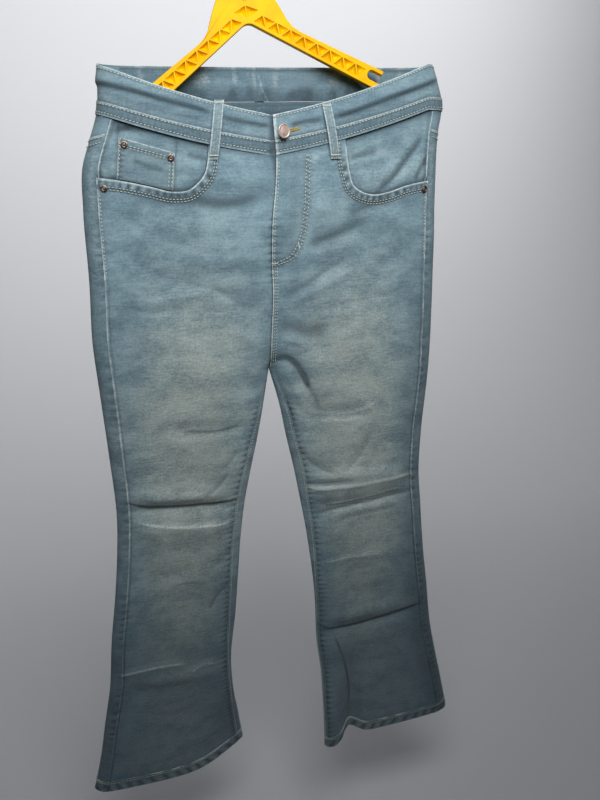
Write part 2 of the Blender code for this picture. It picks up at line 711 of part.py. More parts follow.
def back_pocket(side):
    """A five-sided patch pocket on the back panel, pointed at its foot."""
    name = "back_pocket_right" if side == RIGHT else "back_pocket_left"
    columns, rows = 8, 8
    middle = SCOOP_ZERO + side * BACK_POCKET_ACROSS
    grid = []
    for r in range(rows + 1):
        row = []
        for c in range(columns + 1):
            across = (c / columns - 0.5) * BACK_POCKET_WIDE * (1 - 0.10 * r / rows)
            foot = BACK_POCKET_TALL + BACK_POCKET_POINT * (1 - abs(2 * c / columns - 1))
            drop = BACK_POCKET_DROP + foot * r / rows
            row.append((side, back_share(side, drop, middle + across), drop))
        grid.append(row)
    return sheet(name, grid, LAYER_GAP + POCKET_CLOTH, POCKET_CLOTH, "denim")


def belt_loop(row):
    """A narrow strip sewn down at both ends and standing clear of the band between them."""
    steps = 8
    grid_out, grid_in = [], []
    for i in range(steps + 1):
        t = i / steps
        x, drop = row.x0 + (row.x1 - row.x0) * t, row.drop0 + (row.drop1 - row.drop0) * t
        foot = ease(t, 0.86, 1.0)
        clear = BAND_LIFT + LAYER_GAP + 0.0034 * math.sin(math.pi * t) ** 0.7
        clear = max(clear, (STRIP_LIFT + LAYER_GAP) * ease(t, 0.35, 0.5)) * (1 - foot) + LAYER_GAP * foot
        if row.face == "front" and foot == 0 and t > 0.5:
            clear = max(clear, STRIP_LIFT + LAYER_GAP)
        out_row, in_row = [], []
        for edge in (-0.5, 0.5):
            place_x = x + edge * LOOP_WIDE
            side = row.side
            middle = read(MIDDLE, "centre", drop)
            if (place_x - middle) * side < 0:
                side = -side
            find = front_share if row.face == "front" else back_share
            share = find(side, drop, place_x)
            outer, _ = spot(side, share, drop, clear + LOOP_CLOTH)
            inner, _ = spot(side, share, drop, clear)
            out_row.append(outer)
            in_row.append(inner)
        grid_out.append(out_row)
        grid_in.append(in_row)
    return shell(row.name, grid_out, grid_in, "denim")


# ---------------------------------------------------------------- metal
def turned(name, profile, steps, point, normal, material_name):
    """A solid of revolution from (radius, height) rows that start and end on its axis."""
    bm = bmesh.new()
    rings = []
    for radius, height in profile:
        if radius == 0:
            rings.append([bm.verts.new((0, 0, height))])
            continue
        angles = [2 * math.pi * i / steps for i in range(steps)]
        rings.append([bm.verts.new((radius * math.cos(a), radius * math.sin(a), height)) for a in angles])
    for low, high in zip(rings, rings[1:]):
        for i in range(steps):
            n = (i + 1) % steps
            if len(low) == 1:
                bm.faces.new((low[0], high[i], high[n]))
            elif len(high) == 1:
                bm.faces.new((low[i], high[0], low[n]))
            else:
                bm.faces.new((low[i], high[i], high[n], low[n]))
    turn = Vector((0, 0, 1)).rotation_difference(Vector(normal)).to_matrix().to_4x4()
    bm.transform(Matrix.Translation(Vector(point)) @ turn)
    return finish(name, bm, material_name)


def rivet(row):
    point, normal = spot(row.side, front_share(row.side, row.drop, row.x), row.drop, row.lift + LAYER_GAP)
    r, h = RIVET_RADIUS, RIVET_TALL
    profile = ((0, 0), (r, 0), (r, 0.35 * h), (0.72 * r, 0.8 * h), (0.4 * r, 0.55 * h), (0, h))
    return turned(row.name, profile, 14, point, normal, "rivet_metal")


def button():
    share = front_share(LEFT, BUTTON_DROP, BUTTON_X)
    point, normal = spot(LEFT, share, BUTTON_DROP, BAND_LIFT + LAYER_GAP + 0.0016)
    turn = Matrix.Rotation(BUTTON_TURN, 3, "Z")
    facing = turn @ Vector(normal)
    r, h, s, k = BUTTON_RADIUS, BUTTON_THICK, SHANK_RADIUS, SHANK_TALL
    profile = ((0, 0), (s, 0), (s, k), (0.8 * r, k), (r, k + 0.3 * h), (r, k + 0.7 * h), (0.9 * r, k + h), (0, k + h))
    return turned("button", profile, 28, point, facing, "button_metal")


# ---------------------------------------------------------------- hanger
def hanger_point(u, v):
    """The hanger's own plane, u across and v up from the apex, rolled into the garment's x and z."""
    x = APEX_X + u * math.cos(HANGER_ROLL) - v * math.sin(HANGER_ROLL)
    z = APEX_Z + u * math.sin(HANGER_ROLL) + v * math.cos(HANGER_ROLL)
    return x, z


def arm_point(side, along, up):
    """A place on one arm: along its lower edge from the apex, and square up from it."""
    u = side * (along * math.cos(ARM_ANGLE) + up * math.sin(ARM_ANGLE))
    return hanger_point(u, up * math.cos(ARM_ANGLE) - along * math.sin(ARM_ANGLE))


def arm_outline(side):
    """One arm from the apex out along its lower edge and home along its top, notch included."""
    tip = ARM_WIDE_END / 2
    points = [arm_point(side, 0.030, 0.0)]
    for i in range(7):
        a = math.pi * (i / 6 - 0.5)
        points.append(arm_point(side, ARM_REACH - tip + tip * math.cos(a), tip + tip * math.sin(a)))
    points.append(arm_point(side, NOTCH_END + 0.030, ARM_WIDE_END))
    points.append(arm_point(side, NOTCH_END + 0.012, NOTCH_FLOOR))
    slot = (NOTCH_ROOF - NOTCH_FLOOR) / 2
    for i in range(7):
        a = math.pi * (1.5 - i / 6)
        points.append(arm_point(side, NOTCH_START + slot + slot * math.cos(a), NOTCH_FLOOR + slot + slot * math.sin(a)))
    points.append(arm_point(side, NOTCH_END, NOTCH_ROOF))
    points.append(arm_point(side, NOTCH_END, ARM_WIDE_NOTCH))
    points.append(arm_point(side, ARM_FROM, ARM_WIDE_NECK))
    return points


def hook_outline():
    """The crook: up its outer side from the neck, round its free end and home along its inner side."""
    half = HOOK_WIDE / 2
    centre = Vector((0, half - HOOK_RADIUS))
    points = []
    count = 20
    for radius, back in ((HOOK_RADIUS + half, False), (HOOK_RADIUS - half, True)):
        start, end = math.pi + HANGER_ROLL, HOOK_END + HANGER_ROLL
        for i in range(count + 1):
            t = 1 - i / count if back else i / count
            a = start + (end - start) * t
            points.append((centre[0] + radius * math.cos(a), centre[1] + radius * math.sin(a)))
    for i in range(1, 4):
        a = HOOK_END + HANGER_ROLL - math.pi * i / 4
        middle = centre + HOOK_RADIUS * Vector((math.cos(HOOK_END + HANGER_ROLL), math.sin(HOOK_END + HANGER_ROLL)))
        points.insert(count + i, (middle[0] + half * math.cos(a), middle[1] + half * math.sin(a)))
    return points


def hanger_outline():
    outline = list(arm_outline(LEFT))
    outline += [hanger_point(u, v) for u, v in NECK]
    outline += reversed(hook_outline())
    outline += [hanger_point(-u, v) for u, v in reversed(NECK)]
    outline += reversed(arm_outline(RIGHT))
    drop = APEX_ROUND / math.cos(ARM_ANGLE)
    for i in range(7):
        a = math.pi / 2 + ARM_ANGLE * (1 - i / 3)
        outline.append(hanger_point(APEX_ROUND * math.cos(a), APEX_ROUND * math.sin(a) - drop))
    return outline


def recess_cutter():
    """The truss of three-cornered pits, in both faces of the arms and the neck, as one cutter."""
    bm = bmesh.new()
    spots = []
    for side in (RIGHT, LEFT):
        for k in range(RECESS_COUNT):
            along = RECESS_FIRST + RECESS_PITCH * k
            tall = RECESS_TALL_FIRST + (RECESS_TALL_LAST - RECESS_TALL_FIRST) * k / (RECESS_COUNT - 1)
            spots.append([
                arm_point(side, along - RECESS_HALF, RECESS_RIM),
                arm_point(side, along + RECESS_HALF, RECESS_RIM),
                arm_point(side, along, tall),
            ])
            along += RECESS_PITCH / 2
            spots.append([
                arm_point(side, along - RECESS_HALF + RECESS_RIB / 2, tall),
                arm_point(side, along, RECESS_RIM + RECESS_RIB),
                arm_point(side, along + RECESS_HALF - RECESS_RIB / 2, tall),
            ])
        for row in CHEVRONS:
            inner, outer = side * RECESS_RIB, side * row.half
            spots.append([
                hanger_point(inner, row.top), hanger_point(outer, row.shoulder), hanger_point(inner, row.foot),
            ])
    for corners in spots:
        for face in (-1, 1):
            outside = face * (HANGER_THICK / 2 + 0.002)
            floor = face * (HANGER_THICK / 2 - RECESS_DEEP)
            near = [bm.verts.new((x, outside, z)) for x, z in corners]
            far = [bm.verts.new((x, floor, z)) for x, z in corners]
            bm.faces.new(near)
            bm.faces.new(far[::-1])
            for i in range(3):
                n = (i + 1) % 3
                bm.faces.new((near[i], far[i], far[n], near[n]))
    bmesh.ops.recalc_face_normals(bm, faces=bm.faces)
    mesh = bpy.data.meshes.new("recess_cutter")
    bm.to_mesh(mesh)
    bm.free()
    cutter = bpy.data.objects.new("recess_cutter", mesh)
    bpy.context.scene.collection.objects.link(cutter)
    cutter.hide_render = True
    cutter.display_type = "WIRE"
    return cutter


def hanger():
    """The one-piece plastic hanger with its moulded hook."""
    bm = bmesh.new()
    outline = hanger_outline()
    front = [bm.verts.new((x, -HANGER_THICK / 2, z)) for x, z in outline]
    back = [bm.verts.new((x, HANGER_THICK / 2, z)) for x, z in outline]
    bm.faces.new(front)
    bm.faces.new(back[::-1])
    for i in range(len(outline)):
        n = (i + 1) % len(outline)
        bm.faces.new((front[i], back[i], back[n], front[n]))
    bmesh.ops.recalc_face_normals(bm, faces=bm.faces)
    made = finish("hanger", bm, "hanger_plastic", smooth=False)
    cut = made.modifiers.new("recesses", "BOOLEAN")
    cut.operation = "DIFFERENCE"
    cut.object = recess_cutter()
    return made


def main():
    clear_scene()
    for side in (RIGHT, LEFT):
        front_panel(side)
        back_panel(side)
        yoke(side)
        hem(side)
        pocket_facing(side)
        back_pocket(side)
    waistband()
    coin_pocket()
    for row in LOOPS:
        belt_loop(row)
    for row in RIVETS:
        rivet(row)
    button()
    hanger()


main()
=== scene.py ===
# %% [markdown]
# # Light blue bootcut jeans on a yellow hanger
# The solids that this file starts from hold every piece of the garment at its real size. Here each piece
# of cloth is made again as a fine thin shell on the same form, with its creases, puckered seams, worn
# edges and sewing, and gets the denim's colour. The hanger and the metal get their moulded detail too.

# %% The frame
import math
from collections import namedtuple
from functools import partial

import bpy
import numpy as np
from mathutils import Matrix, Vector


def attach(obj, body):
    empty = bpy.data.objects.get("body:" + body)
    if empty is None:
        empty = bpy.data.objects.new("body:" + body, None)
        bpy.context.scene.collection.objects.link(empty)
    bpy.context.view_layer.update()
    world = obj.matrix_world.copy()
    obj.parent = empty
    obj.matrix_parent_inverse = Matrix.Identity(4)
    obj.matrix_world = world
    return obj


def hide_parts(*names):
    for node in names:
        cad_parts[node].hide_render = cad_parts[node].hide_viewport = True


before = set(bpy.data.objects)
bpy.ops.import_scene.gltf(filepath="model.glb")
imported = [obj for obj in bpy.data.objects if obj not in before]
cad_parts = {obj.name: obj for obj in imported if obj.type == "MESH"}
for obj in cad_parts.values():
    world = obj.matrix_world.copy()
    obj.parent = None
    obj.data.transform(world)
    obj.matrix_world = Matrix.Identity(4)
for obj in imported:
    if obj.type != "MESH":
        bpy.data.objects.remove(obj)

for name in ("Cube", "Light", "Camera"):
    if name in bpy.data.objects:
        bpy.data.objects.remove(bpy.data.objects[name])
bpy.ops.object.select_all(action="DESELECT")
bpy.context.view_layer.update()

# %% [markdown]
# ## The camera
# The photo was taken close by, from in front and a little to the left, with a phone held level with the
# hips and tipped down. A short lens as near as this makes the legs narrow towards the floor, so the
# place of the camera matters as much as its angle.

# %% Camera
PHOTO_TALL = 800
FOCAL_PIXELS = 601
LONG_SIDE = 36.0
CAMERA_PLACE = (-0.134, -0.7675, -0.307)
CAMERA_DOWN, CAMERA_RIGHT = math.radians(19), math.radians(14)

bpy.ops.object.camera_add(location=CAMERA_PLACE, rotation=(math.pi / 2 - CAMERA_DOWN, 0, -CAMERA_RIGHT))
camera = bpy.context.object
camera.data.sensor_width = LONG_SIDE
camera.data.lens = LONG_SIDE * FOCAL_PIXELS / PHOTO_TALL
bpy.context.scene.camera = camera
print("lens", round(camera.data.lens, 2), "mm")

# %% [markdown]
# ## Floor and light
# A plain pale floor lies well under the hems and is swept up behind into a backdrop: its far edge is
# extruded upwards and the fold between is bevelled wide. A small soft lamp hangs close in front of the
# waist, so its light falls off down the legs, as it does in the photo. A wide one lights the top of the
# backdrop, and a weak one the back of the garment.

# %% Floor and light
FLOOR_Z = -1.42
FLOOR_SIZE = 26.0
WALL_Y, WALL_TALL, SWEEP, SWEEP_STEPS = 3.0, 5.0, 2.0, 32
NEAR = 0.01
FLOOR_COLOUR, FLOOR_ROUGH = (0.52, 0.53, 0.55, 1.0), 0.8
ROOM_LIGHT, ROOM_SEEN = (0.080, 0.084, 0.090, 1.0), (0.62, 0.63, 0.66, 1.0)
Lamp = namedtuple("Lamp", "name place aim wide tall power")
LAMPS = [
    Lamp("key_light", (0.0, -0.55, 0.13), (0.04, 0.0, -0.42), 0.60, 0.36, 6.9),
    Lamp("wall_light", (0.25, 1.5, 1.10), (0.15, 3.0, 0.12), 4.4, 0.5, 76.0),
    Lamp("back_light", (0.5, 1.7, 0.7), (0.0, 0.0, -0.6), 1.0, 1.0, 3.0),
]

bpy.ops.mesh.primitive_plane_add(size=FLOOR_SIZE, location=(0, WALL_Y - FLOOR_SIZE / 2, FLOOR_Z))
floor = bpy.context.object
floor.name = "floor"
bpy.ops.object.transform_apply(location=True, rotation=True, scale=True)
for edge in floor.data.edges:
    edge.select = all(floor.data.vertices[i].co.y > WALL_Y - NEAR for i in edge.vertices)
for corner in floor.data.vertices:
    corner.select = corner.co.y > WALL_Y - NEAR
bpy.ops.object.mode_set(mode="EDIT")
bpy.ops.mesh.select_mode(type="EDGE")
bpy.ops.mesh.extrude_region_move(TRANSFORM_OT_translate={"value": (0, 0, WALL_TALL)})
bpy.ops.object.mode_set(mode="OBJECT")
for edge in floor.data.edges:
    ends = [floor.data.vertices[i].co for i in edge.vertices]
    edge.select = all(end.y > WALL_Y - NEAR and end.z < FLOOR_Z + NEAR for end in ends)
bpy.ops.object.mode_set(mode="EDIT")
bpy.ops.mesh.bevel(offset=SWEEP, segments=SWEEP_STEPS)
bpy.ops.object.mode_set(mode="OBJECT")
bpy.ops.object.shade_smooth()
floor_paint = bpy.data.materials.new("floor_paint")
floor_paint.use_nodes = True
floor_shader = floor_paint.node_tree.nodes["Principled BSDF"]
floor_shader.inputs["Base Color"].default_value = FLOOR_COLOUR
floor_shader.inputs["Roughness"].default_value = FLOOR_ROUGH
floor.data.materials.append(floor_paint)

for row in LAMPS:
    bpy.ops.object.light_add(type="AREA", location=row.place)
    lamp = bpy.context.object
    lamp.name = row.name
    lamp.rotation_euler = (Vector(row.aim) - Vector(row.place)).to_track_quat("-Z", "Y").to_euler()
    lamp.data.shape = "RECTANGLE"
    lamp.data.size, lamp.data.size_y = row.wide, row.tall
    lamp.data.energy = row.power

room = bpy.data.worlds.new("pale_room")
room.use_nodes = True
lit = room.node_tree.nodes["Background"]
lit.inputs["Color"].default_value = ROOM_LIGHT
seen = room.node_tree.nodes.new("ShaderNodeBackground")
seen.inputs["Color"].default_value = ROOM_SEEN
rays = room.node_tree.nodes.new("ShaderNodeLightPath")
either = room.node_tree.nodes.new("ShaderNodeMixShader")
room.node_tree.links.new(rays.outputs["Is Camera Ray"], either.inputs[0])
room.node_tree.links.new(lit.outputs[0], either.inputs[1])
room.node_tree.links.new(seen.outputs[0], either.inputs[2])
room.node_tree.links.new(either.outputs[0], room.node_tree.nodes["World Output"].inputs["Surface"])
bpy.context.scene.world = room
bpy.context.scene.view_settings.view_transform = "Standard"
print(len(LAMPS), "lamps, floor at", FLOOR_Z, "m")

# %% [markdown]
# ## A way to write materials
# A shader is arithmetic on patterns. This small class wraps one output of a node, so that a sum such as
# 1 - mask adds the Math node it needs, and one method adds every other kind of node.

# %% Shader sums
class Plug:
    """One output of a shader node."""

    def __init__(self, tree, socket=None):
        self.tree, self.socket = tree, socket

    def node(self, kind, feeds=None, output=0, stops=(), **settings):
        """Adds a node, sets it, then its ramp's stops, then feeds its sockets. Gives one output."""
        made = self.tree.nodes.new(kind)
        for name, value in settings.items():
            setattr(made, name, value)
        for index, (place, colour) in enumerate(stops):
            elements = made.color_ramp.elements
            element = elements[index] if index < 2 else elements.new(place)
            element.position = place
            element.color = colour
        for name, value in (feeds or {}).items():
            if isinstance(value, Plug):
                self.tree.links.new(value.socket, made.inputs[name])
            else:
                made.inputs[name].default_value = value
        return Plug(self.tree, made.outputs[output])

    def maths(self, operation, first, second):
        return self.node("ShaderNodeMath", {0: first, 1: second}, operation=operation)

    def __add__(self, other):
        return self.maths("ADD", self, other)

    __radd__ = __add__

    def __sub__(self, other):
        return self.maths("SUBTRACT", self, other)

    def __rsub__(self, other):
        return self.maths("SUBTRACT", other, self)

    def __mul__(self, other):
        return self.maths("MULTIPLY", self, other)

    __rmul__ = __mul__

    def between(self, low, high):
        """0 below low, 1 above high, smooth on the way."""
        feeds = {"Value": self, "From Min": low, "From Max": high}
        return self.node("ShaderNodeMapRange", feeds, interpolation_type="SMOOTHSTEP")

    def blend(self, first, second):
        """A colour: first where this is 0, second where it is 1."""
        feeds = {0: self, 6: first, 7: second}
        return self.node("ShaderNodeMix", feeds, output=2, data_type="RGBA")

    def stretched(self, across, down):
        """These coordinates multiplied by a scale in each direction."""
        return self.node("ShaderNodeMapping", {"Vector": self, "Scale": (across, down, 1.0)})

    def noise(self, scale, detail=3.0, rough=0.5):
        feeds = {"Vector": self, "Scale": scale, "Detail": detail, "Roughness": rough}
        return self.node("ShaderNodeTexNoise", feeds)


def new_material(name, roughness, metallic=0.0, sheen=0.0):
    """A Principled material, its node tree as a plug to start from, and its shader."""
    made = bpy.data.materials.new(name)
    made.use_nodes = True
    shader = made.node_tree.nodes["Principled BSDF"]
    shader.inputs["Roughness"].default_value = roughness
    shader.inputs["Metallic"].default_value = metallic
    shader.inputs["Sheen Weight"].default_value = sheen
    return made, Plug(made.node_tree), shader


def feed(shader, socket, plug):
    plug.tree.links.new(plug.socket, shader.inputs[socket])


# %% [markdown]
# ## Denim
# Denim has indigo warp yarns over pale weft in a diagonal twill. Washing wears the indigo off the ridges,
# so it looks streaked down the leg, speckled close to, cloudy from far off, and pale where it rubs: over
# the thighs and knees, and on folded edges. The cloth keeps three numbers at each point, made further
# down: how faded; how worn pale, which along crease ridges is partly painted highlight; and how much
# painted shade darkens it. The patterns follow the cloth's own map, in metres.

# %% Denim
INDIGO = (0.098, 0.178, 0.228, 1.0)
WASHED = (0.300, 0.445, 0.510, 1.0)
FADED = (0.560, 0.650, 0.610, 1.0)
FADED_DEEP = (0.235, 0.290, 0.285, 1.0)
# The pale of worn cloth, also used as a painted highlight along crease ridges.
WORN_AND_HIGHLIT = (0.800, 0.900, 0.885, 1.0)
# The near-black that painted shade blends towards.
SHADED = (0.018, 0.035, 0.050, 1.0)
TWILL_PITCH = 0.0011


def make_denim():
    made, paint, shader = new_material("denim_cloth", roughness=0.9, sheen=0.12)
    cloth_map = paint.node("ShaderNodeUVMap", uv_map="UVMap")
    tone = paint.node("ShaderNodeAttribute", attribute_name="tone")
    fade = paint.node("ShaderNodeSeparateColor", {"Color": tone}, output=0)
    wear = paint.node("ShaderNodeSeparateColor", {"Color": tone}, output=1)
    shade = paint.node("ShaderNodeSeparateColor", {"Color": tone}, output=2)
    streaks = cloth_map.stretched(520, 60).noise(1.0, 3.0, 0.6)
    slubs = cloth_map.stretched(70, 520).noise(1.0, 3.0, 0.65)
    specks = cloth_map.noise(330.0, 3.0, 0.8)
    clouds = cloth_map.noise(34.0, 4.0, 0.65)
    washes = cloth_map.stretched(9.0, 34.0).noise(1.0, 4.0, 0.6)
    grain = (streaks * 0.12 + slubs * 0.36 + specks * 0.52).between(0.34, 0.66)
    cloudy = (clouds * 0.50 + washes * 0.50).between(0.38, 0.62)
    pale = grain * 0.46 + cloudy * 0.54
    colour = pale.blend(INDIGO, WASHED)
    cream = (grain * 0.7 + cloudy * 0.3).blend(FADED_DEEP, FADED)
    faded = (fade * (cloudy * 0.35 + grain * 0.25 + 0.62)).between(0.02, 1.0)
    colour = faded.blend(colour, cream)
    # Pale tone: wear, and painted highlight along crease ridges.
    worn_and_highlit = (wear * (grain * 0.75 + 0.55)).between(0.1, 1.05)
    colour = worn_and_highlit.blend(colour, WORN_AND_HIGHLIT)
    # Painted shade: the shade tone darkens the colour towards SHADED.
    shaded = shade * (cloudy * 0.30 + 0.60)
    colour = shaded.blend(colour, SHADED)
    feed(shader, "Base Color", colour)
    twill = cloth_map.node(
        "ShaderNodeTexWave",
        {"Vector": cloth_map, "Scale": 2 * math.pi / (10 * TWILL_PITCH), "Distortion": 1.5},
        output=1,
        bands_direction="DIAGONAL",
    )
    height = twill * 0.3 + grain * 0.6 + specks * 0.4
    bump = paint.node("ShaderNodeBump", {"Height": height, "Strength": 0.6, "Distance": 0.0005})
    feed(shader, "Normal", bump)
    return made


denim = make_denim()
print("denim has", len(denim.node_tree.nodes), "nodes")

# %% [markdown]
# ## Thread, metal and plastic
# The sewing thread is pale and a little yellow. The shank button and the rivets are a dull pinkish
# copper, brighter where they rub. The hanger is a warm yellow plastic with the faint sink marks and
# orange-peel of moulding.

# %% Thread, metal and plastic
THREAD = (0.66, 0.69, 0.60, 1.0)
THREAD_SHADE = (0.42, 0.46, 0.42, 1.0)
GOLD_THREAD = (0.50, 0.36, 0.12, 1.0)
GOLD_SHADE = (0.28, 0.20, 0.07, 1.0)
COPPER, COPPER_DULL = (0.72, 0.56, 0.49, 1.0), (0.56, 0.42, 0.36, 1.0)
BRONZE, BRONZE_DULL = (0.30, 0.24, 0.20, 1.0), (0.10, 0.08, 0.07, 1.0)
YELLOW, YELLOW_DEEP = (0.98, 0.53, 0.0, 1.0), (0.93, 0.46, 0.0, 1.0)
PLASTIC_GLOSS = 0.16


def two_tone(name, light, deep, scale, roughness, metallic=0.0, bump_height=0.0, sheen=0.0):
    """A material that wanders between two colours, on object coordinates."""
    made, paint, shader = new_material(name, roughness, metallic, sheen)
    place = paint.node("ShaderNodeTexCoord", output=3)
    patches = place.noise(scale, 3.0)
    feed(shader, "Base Color", patches.between(0.35, 0.65).blend(deep, light))
    feed(shader, "Roughness", patches * 0.16 + (roughness - 0.08))
    if bump_height:
        feeds = {"Height": patches, "Strength": 0.6, "Distance": bump_height}
        feed(shader, "Normal", paint.node("ShaderNodeBump", feeds))
    return made


thread = two_tone("pale_thread", THREAD, THREAD_SHADE, 900.0, 0.8, bump_height=0.0002, sheen=0.2)
gold_thread = two_tone("gold_thread", GOLD_THREAD, GOLD_SHADE, 900.0, 0.7, bump_height=0.0002)
copper = two_tone("button_copper", COPPER, COPPER_DULL, 260.0, 0.46, metallic=0.55)
bronze = two_tone("rivet_bronze", BRONZE, BRONZE_DULL, 420.0, 0.46, metallic=1.0)
plastic = two_tone("yellow_plastic", YELLOW, YELLOW_DEEP, 45.0, 0.55, bump_height=0.0004)
plastic.node_tree.nodes["Principled BSDF"].inputs["Specular IOR Level"].default_value = PLASTIC_GLOSS
print("thread, copper, bronze and plastic made")

# %% [markdown]
# ## The garment's form
# These are the same sizes that the solids were made from. Each half of the garment is a loop of cloth at
# every drop below the waist: from the centre front (below the crotch, from the inner fold) over the
# front, round the outer fold, over the back and home. A share from 0 to 1 says where on the loop a point
# lies, so a seam is a share for each drop, and cloth on both sides of it meets exactly.

# %% Sizes of the form
RIGHT, LEFT = -1, 1
SIDE_NAMES = {RIGHT: "right", LEFT: "left"}
DENIM, BAND_CLOTH, POCKET_CLOTH = 0.0015, 0.0028, 0.0012
SEAM_GAP, LAYER_GAP = 0.0003, 0.0004
MM = 0.001
WAIST_Z, WAIST_X, TILT = -0.166, 0.027, 0.036
CROTCH, CROTCH_CURVE, INSEAM_SETTLED = 0.364, 0.045, 0.410
HEM_END, HEM_TALL = 1.030, 0.019
FOLD_RUN, CROWN = 0.030, 0.24
print("the waist is at", WAIST_Z, "m and the legs end", HEM_END, "m below it")


# %% How wide and how deep the form is
def table(columns, *rows):
    """Rows of measures with named columns."""
    kind = namedtuple("Row", columns)
    return [kind(*row) for row in rows]


OUTER = table(
    "drop right left",
    (0.000, -0.1700, 0.2240),
    (0.048, -0.1752, 0.2400),
    (0.077, -0.1860, 0.2372),
    (0.103, -0.1960, 0.2375),
    (0.150, -0.2010, 0.2390),
    (0.234, -0.2033, 0.2430),
    (0.304, -0.2075, 0.2460),
    (0.383, -0.2056, 0.2475),
    (0.470, -0.2030, 0.2440),
    (0.550, -0.2020, 0.2445),
    (0.613, -0.2075, 0.2520),
    (0.680, -0.2165, 0.2600),
    (0.760, -0.2295, 0.2730),
    (0.840, -0.2395, 0.2850),
    (0.900, -0.2520, 0.2985),
    (0.965, -0.2650, 0.3145),
    (1.030, -0.2810, 0.3300),
)
MIDDLE = table(
    "drop centre",
    (0.000, 0.0190),
    (0.054, 0.0192),
    (0.104, 0.0226),
    (0.137, 0.0212),
    (0.171, 0.0175),
    (0.221, 0.0160),
    (0.266, 0.0170),
    (0.320, 0.0145),
    (0.364, 0.0138),
)
INNER = table(
    "drop right left",
    (0.364, 0.0138, 0.0138),
    (0.410, 0.0058, 0.0262),
    (0.466, -0.0050, 0.0370),
    (0.517, -0.0165, 0.0478),
    (0.567, -0.0260, 0.0570),
    (0.620, -0.0330, 0.0662),
    (0.680, -0.0382, 0.0745),
    (0.750, -0.0450, 0.0812),
    (0.830, -0.0545, 0.0848),
    (0.890, -0.0530, 0.0912),
    (0.960, -0.0450, 0.0930),
    (1.030, -0.0375, 0.0945),
)
DEPTH = table(
    "drop front back",
    (0.000, 0.0200, 0.0190),
    (0.060, 0.0225, 0.0210),
    (0.150, 0.0220, 0.0270),
    (0.250, 0.0215, 0.0300),
    (0.364, 0.0195, 0.0260),
    (0.470, 0.0165, 0.0200),
    (0.600, 0.0135, 0.0150),
    (0.760, 0.0140, 0.0145),
    (0.900, 0.0155, 0.0160),
    (1.030, 0.0180, 0.0185),
)
INSET = table(
    "drop side right left",
    (0.000, 0.0170, 0.0, 0.0),
    (0.364, 0.0185, 0.0, 0.0),
    (0.410, 0.0180, 0.0080, 0.0085),
    (0.470, 0.0175, 0.0120, 0.0125),
    (0.600, 0.0160, 0.0150, 0.0110),
    (0.750, 0.0165, 0.0125, 0.0050),
    (0.850, 0.0165, 0.0075, 0.0040),
    (0.960, 0.0160, 0.0105, 0.0040),
    (1.030, 0.0175, 0.0120, 0.0045),
)
print(len(OUTER), "widths and", len(DEPTH), "depths")

# %% Large folds and swinging hems
# x and drop of one end, x and drop of the other, reach, rise
FOLDS = {
    (RIGHT, "front"): [
        (-0.178, 0.540, -0.036, 0.555, 0.011, -0.0045),
        (-0.175, 0.522, -0.050, 0.535, 0.012, 0.0030),
        (-0.180, 0.574, -0.050, 0.590, 0.012, 0.0030),
        (-0.133, 0.430, -0.015, 0.440, 0.011, -0.0025),
        (-0.215, 0.826, -0.065, 0.838, 0.014, 0.0030),
    ],
    (LEFT, "front"): [
        (0.068, 0.532, 0.215, 0.541, 0.011, 0.0045),
        (0.075, 0.583, 0.217, 0.570, 0.012, -0.0045),
        (0.060, 0.430, 0.150, 0.440, 0.011, -0.0025),
        (0.092, 0.806, 0.238, 0.797, 0.013, -0.0050),
        (0.110, 0.786, 0.225, 0.776, 0.014, 0.0035),
    ],
    (RIGHT, "back"): [
        (-0.185, 0.560, -0.045, 0.585, 0.013, 0.0045),
        (-0.180, 0.600, -0.050, 0.610, 0.012, -0.0040),
        (-0.170, 0.330, -0.040, 0.370, 0.016, -0.0040),
        (-0.225, 0.845, -0.075, 0.825, 0.014, -0.0035),
    ],
    (LEFT, "back"): [
        (0.075, 0.590, 0.225, 0.560, 0.013, 0.0045),
        (0.080, 0.625, 0.225, 0.605, 0.012, -0.0040),
        (0.080, 0.372, 0.215, 0.335, 0.016, -0.0040),
        (0.110, 0.822, 0.260, 0.840, 0.014, -0.0035),
    ],
}
SWINGS = table(
    "side from_drop at_fold run valley_x valley_run valley",
    (RIGHT, 0.86, 0.034, 0.055, -0.120, 0.040, 0.000),
    (LEFT, 0.80, -0.024, 0.034, 0.1460, 0.016, 0.020),
)


# %% Reading the tables
def smooth_curve(places, values, at):
    """Read at some places, a smooth curve that has these values at those places."""
    slopes = np.gradient(values, places, axis=0)
    i = np.clip(np.searchsorted(places, at) - 1, 0, len(places) - 2)
    width = places[i + 1] - places[i]
    t = (at - places[i]) / width
    if values.ndim > 1:
        t, width = t[:, None], width[:, None]
    start = (1 + 2 * t) * (1 - t) ** 2 * values[i] + t * (1 - t) ** 2 * width * slopes[i]
    return start + t * t * (3 - 2 * t) * values[i + 1] + t * t * (t - 1) * width * slopes[i + 1]


def read(table, column, drop):
    """A column of a table at any drop."""
    drops = np.array([row.drop for row in table])
    values = np.array([getattr(row, column) for row in table])
    return smooth_curve(drops, values, np.clip(drop, drops[0], drops[-1]))


def read_side(table, side, drop):
    """The right or the left column, as side says at each place."""
    return np.where(np.asarray(side) < 0, read(table, "right", drop), read(table, "left", drop))


def ease(value, low, high):
    """0 below low, 1 above high, smooth on the way."""
    t = np.clip((np.asarray(value, float) - low) / (high - low), 0.0, 1.0)
    return t * t * (3 - 2 * t)


def bell(distance, reach):
    """1 at no distance, and near 0 from two reaches on."""
    return np.exp(-((distance / reach) ** 2))


def outer_x(side, drop):
    return read_side(OUTER, side, drop)


def centre_x(drop):
    return read(MIDDLE, "centre", drop)


def inner_x(side, drop):
    legs = read_side(INNER, side, drop)
    return np.where(np.asarray(drop) < CROTCH, centre_x(drop), legs) + side * SEAM_GAP / 2


print("the waist is", round(float(outer_x(LEFT, 0.0) - outer_x(RIGHT, 0.0)), 3), "m wide")


# %% [markdown]
# ## The form as a table
# Working the loop out again for every point of every piece would be slow, so it is worked out once for
# each 2 mm of drop and read in between. The same table gives the way the cloth faces.

